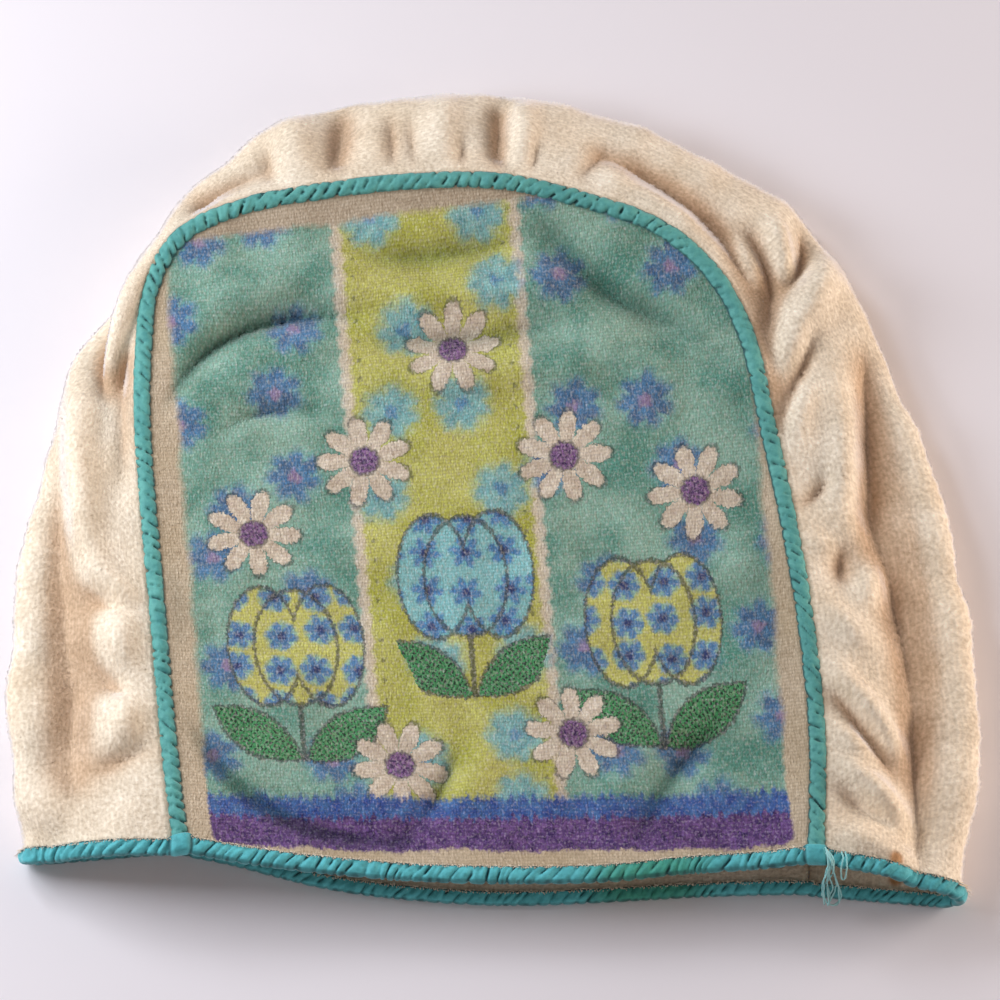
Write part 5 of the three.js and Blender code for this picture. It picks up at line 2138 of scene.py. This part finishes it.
@dataclass
class Cover:
    """The whole cover."""

    place: Array
    shared: Shared
    arch: Arch = field(default_factory=Arch)
    front_loops: Loops = Loops((1.0, 1.3), 0.7, 0.95, 0.38, 0.25, sunk=0.25)
    gusset_loops: Loops = Loops((1.15, 1.36), 0.86, 1.0, 0.32, 0.25, sunk=0.2, softness=0.9)
    back_loops: Loops = Loops((1.6, 1.7), 0.95, 1.0, 0.45, 0.3, sunk=0.2)
    inner_loops: Loops = Loops((1.5, 1.6), 0.6, 0.7, 0.9, 0.4, inner=True, within=30.0)
    fringe_loops: Loops = Loops((0.7, 0.7), 0.3, 0.3, 1.2, 0.2, sunk=0.5, softness=1.0)

    def build(self) -> None:
        """Makes and finishes every piece."""
        seam = self.arch.seam.at(np.linspace(0, 1, 1200))
        # painted shade in a strip beside the piping, on both cloths
        front, gusset = (
            shape(self.arch).cloth().shaded_beside(seam, 2.6, 1.2) for shape in (FrontShape, GussetShape)
        )
        back = BackShape(self.arch).cloth()
        hem = HemTape(front, gusset, back)
        piping = Piping(self.arch).build(self.place)
        tape = hem.build(self.place, list(self.arch.seam.at(np.array([0.0, 1.0]))))
        tails = ThreadTails().build(self.place)
        fringe = pile_piece("hem_fringe", gusset, hem.fringe(self.place, 57), self.fringe_loops, 58)
        self.trims(piping, tape, tails)
        panel = ClothPiece("printed_front", "front_panel", PRINTED_TERRY, front.moved(self.place),
                           {"printed_front_pile": self.front_loops, "front_inner_pile": self.inner_loops}, 61)
        strip = ClothPiece("gusset_cloth", "gusset", CREAM_TERRY, gusset.moved(self.place),
                           {"gusset_pile": self.gusset_loops, "gusset_inner_pile": self.inner_loops}, 71)
        rear = ClothPiece("back_cloth", "back_panel", CREAM_TERRY, back.moved(self.place),
                          {"back_pile": self.back_loops, "back_inner_pile": self.inner_loops}, 81)
        lip = hem.line() - self.place - (0, TAPE_MIDDLE, 0)
        for cloth in (panel, strip, rear):
            cloth.build(lip, seam - self.place)
        strip.made_piles.append(fringe)
        low = tuple(float(v) for v in front.flat.reshape(-1, 2).min(0))
        panel.dress(lambda size, loops: PrintedTerry(self.shared, size, low, loops))
        for cloth in (strip, rear):
            cloth.dress(lambda size, loops: TerryFinish(self.shared, size, loops))
        panel.declare()
        strip.declare()
        rear.declare()

    def trims(self, piping: bpy.types.Object, tape: bpy.types.Object, tails: bpy.types.Object) -> None:
        """Finishes the piping, the tape and the thread tails.

        Args:
            piping: the piping.
            tape: the bias tape.
            tails: the thread tails.
        """
        cotton = CottonFinish(Ink.PIPING, Ink.TAPE_DEEP)
        dress(piping, cotton.material("teal_piping"))
        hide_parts("front_piping")
        patched = CottonFinish(Ink.TAPE, Ink.TAPE_DEEP, patch=True)
        dress(tape, patched.material("teal_tape"))
        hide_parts("hem_binding")
        dress(tails, CottonFinish(Ink.THREAD, Ink.TAPE).material("aqua_thread"))


# ---- studio


def placed(name: str, data: bpy.types.ID, place: Vector, ahead: Vector) -> bpy.types.Object:
    """A camera or a light at a place, looking ahead.

    Args:
        name: its name.
        data: the camera or the light.
        place: where it is.
        ahead: which way it looks.

    Returns:
        The new object.
    """
    thing = bpy.data.objects.new(name, data)
    bpy.context.scene.collection.objects.link(thing)
    thing.location = place
    thing.rotation_mode = "QUATERNION"
    thing.rotation_quaternion = ahead.to_track_quat("-Z", "Y")
    return thing


@dataclass(frozen=True)
class SoftLight:
    """A soft square light that faces the cover."""

    name: str
    place: tuple[float, float, float]
    size: float
    power: float
    colour: tuple[float, float, float]

    def build(self) -> None:
        """Makes the light."""
        data = bpy.data.lights.new(self.name, "AREA")
        data.size, data.energy, data.color = self.size, self.power, self.colour
        placed(self.name, data, Vector(self.place), -Vector(self.place))


LIGHTS = [
    SoftLight("key", (-0.82, 0.92, 0.96), 0.42, 8.0, (0.92, 0.94, 1.0)),
    SoftLight("left_window", (-0.58, 0.08, 0.42), 0.36, 3.5, (0.9, 0.93, 1.0)),
    SoftLight("right_fill", (0.95, 0.1, 0.16), 0.5, 8.0, (1.0, 0.86, 0.77)),
    SoftLight("front_fill", (0.2, -0.75, 0.7), 0.7, 1.0, (1.0, 0.9, 0.88)),
]


@dataclass
class Studio:
    """The camera, the pale floor and the soft light, with sizes in metres."""

    target: tuple[float, float, float] = (0.0026, 0.0039, 0.0)
    elevation: float = 70.0
    distance: float = 8.0
    lens: float = 800.0
    floor_size: float = 12.0
    floor_drop: float = 0.0003    # how far under the cover the floor is, so that they don't touch
    floor_colour: tuple[float, float, float, float] = (0.865, 0.838, 0.868, 1.0)
    room_colour: tuple[float, float, float, float] = (1.0, 0.85, 0.84, 1.0)
    room_strength: float = 0.2

    def camera(self) -> None:
        """The camera, which looks down on the printed front."""
        data = bpy.data.cameras.new("camera")
        data.lens = self.lens
        data.clip_end = 100.0
        tilt = math.radians(self.elevation)
        back = Vector((0.0, -math.cos(tilt), math.sin(tilt)))
        spot = Vector(self.target) + back * self.distance
        bpy.context.scene.camera = placed("camera", data, spot, -back)

    def floor(self) -> None:
        """A wide plain pale floor just under the cover."""
        bpy.ops.mesh.primitive_plane_add(size=self.floor_size, location=(0.0, 0.0, -self.floor_drop))
        floor = bpy.context.object
        floor.name = "floor"
        material, _, shader = new_material("pale_table")
        shader.inputs["Base Color"].default_value = self.floor_colour
        shader.inputs["Roughness"].default_value = 0.75
        floor.data.materials.append(material)

    def room(self) -> None:
        """The lights, and the pale room's even light from all round."""
        for light in LIGHTS:
            light.build()
        world = bpy.data.worlds.new("soft_room")
        world.use_nodes = True
        background = world.node_tree.nodes["Background"]
        background.inputs["Color"].default_value = self.room_colour
        background.inputs["Strength"].default_value = self.room_strength
        bpy.context.scene.world = world
        bpy.context.scene.view_settings.view_transform = "Standard"

    def build(self) -> None:
        """Makes the whole studio."""
        self.camera()
        self.floor()
        self.room()


def row_place(arch: Arch) -> Array:
    """What is taken off the tables' places to get the frame's, found from the piping's box."""
    low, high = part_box("front_piping")
    line = arch.seam.at(np.linspace(0, 1, 4000))
    half = PIPING_RADIUS * math.cos(math.pi / 8)
    middle = (line[:, 0].min() + line[:, 0].max()) / 2 - (low[0] + high[0]) / 2 / MM
    top = line[:, 1].max() + half - high[1] / MM
    return np.array([middle, top, 0.0])


def main() -> None:
    """Builds the studio and the cover, and logs the place taken off the tables' places."""
    logging.basicConfig(level=logging.INFO, stream=sys.stdout, format="%(name)s: %(message)s")
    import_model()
    Studio().build()
    arch = Arch()
    place = row_place(arch)
    LOG.info("place %s", place)
    Cover(place, Shared(), arch).build()


if __name__ == "__main__":
    main()
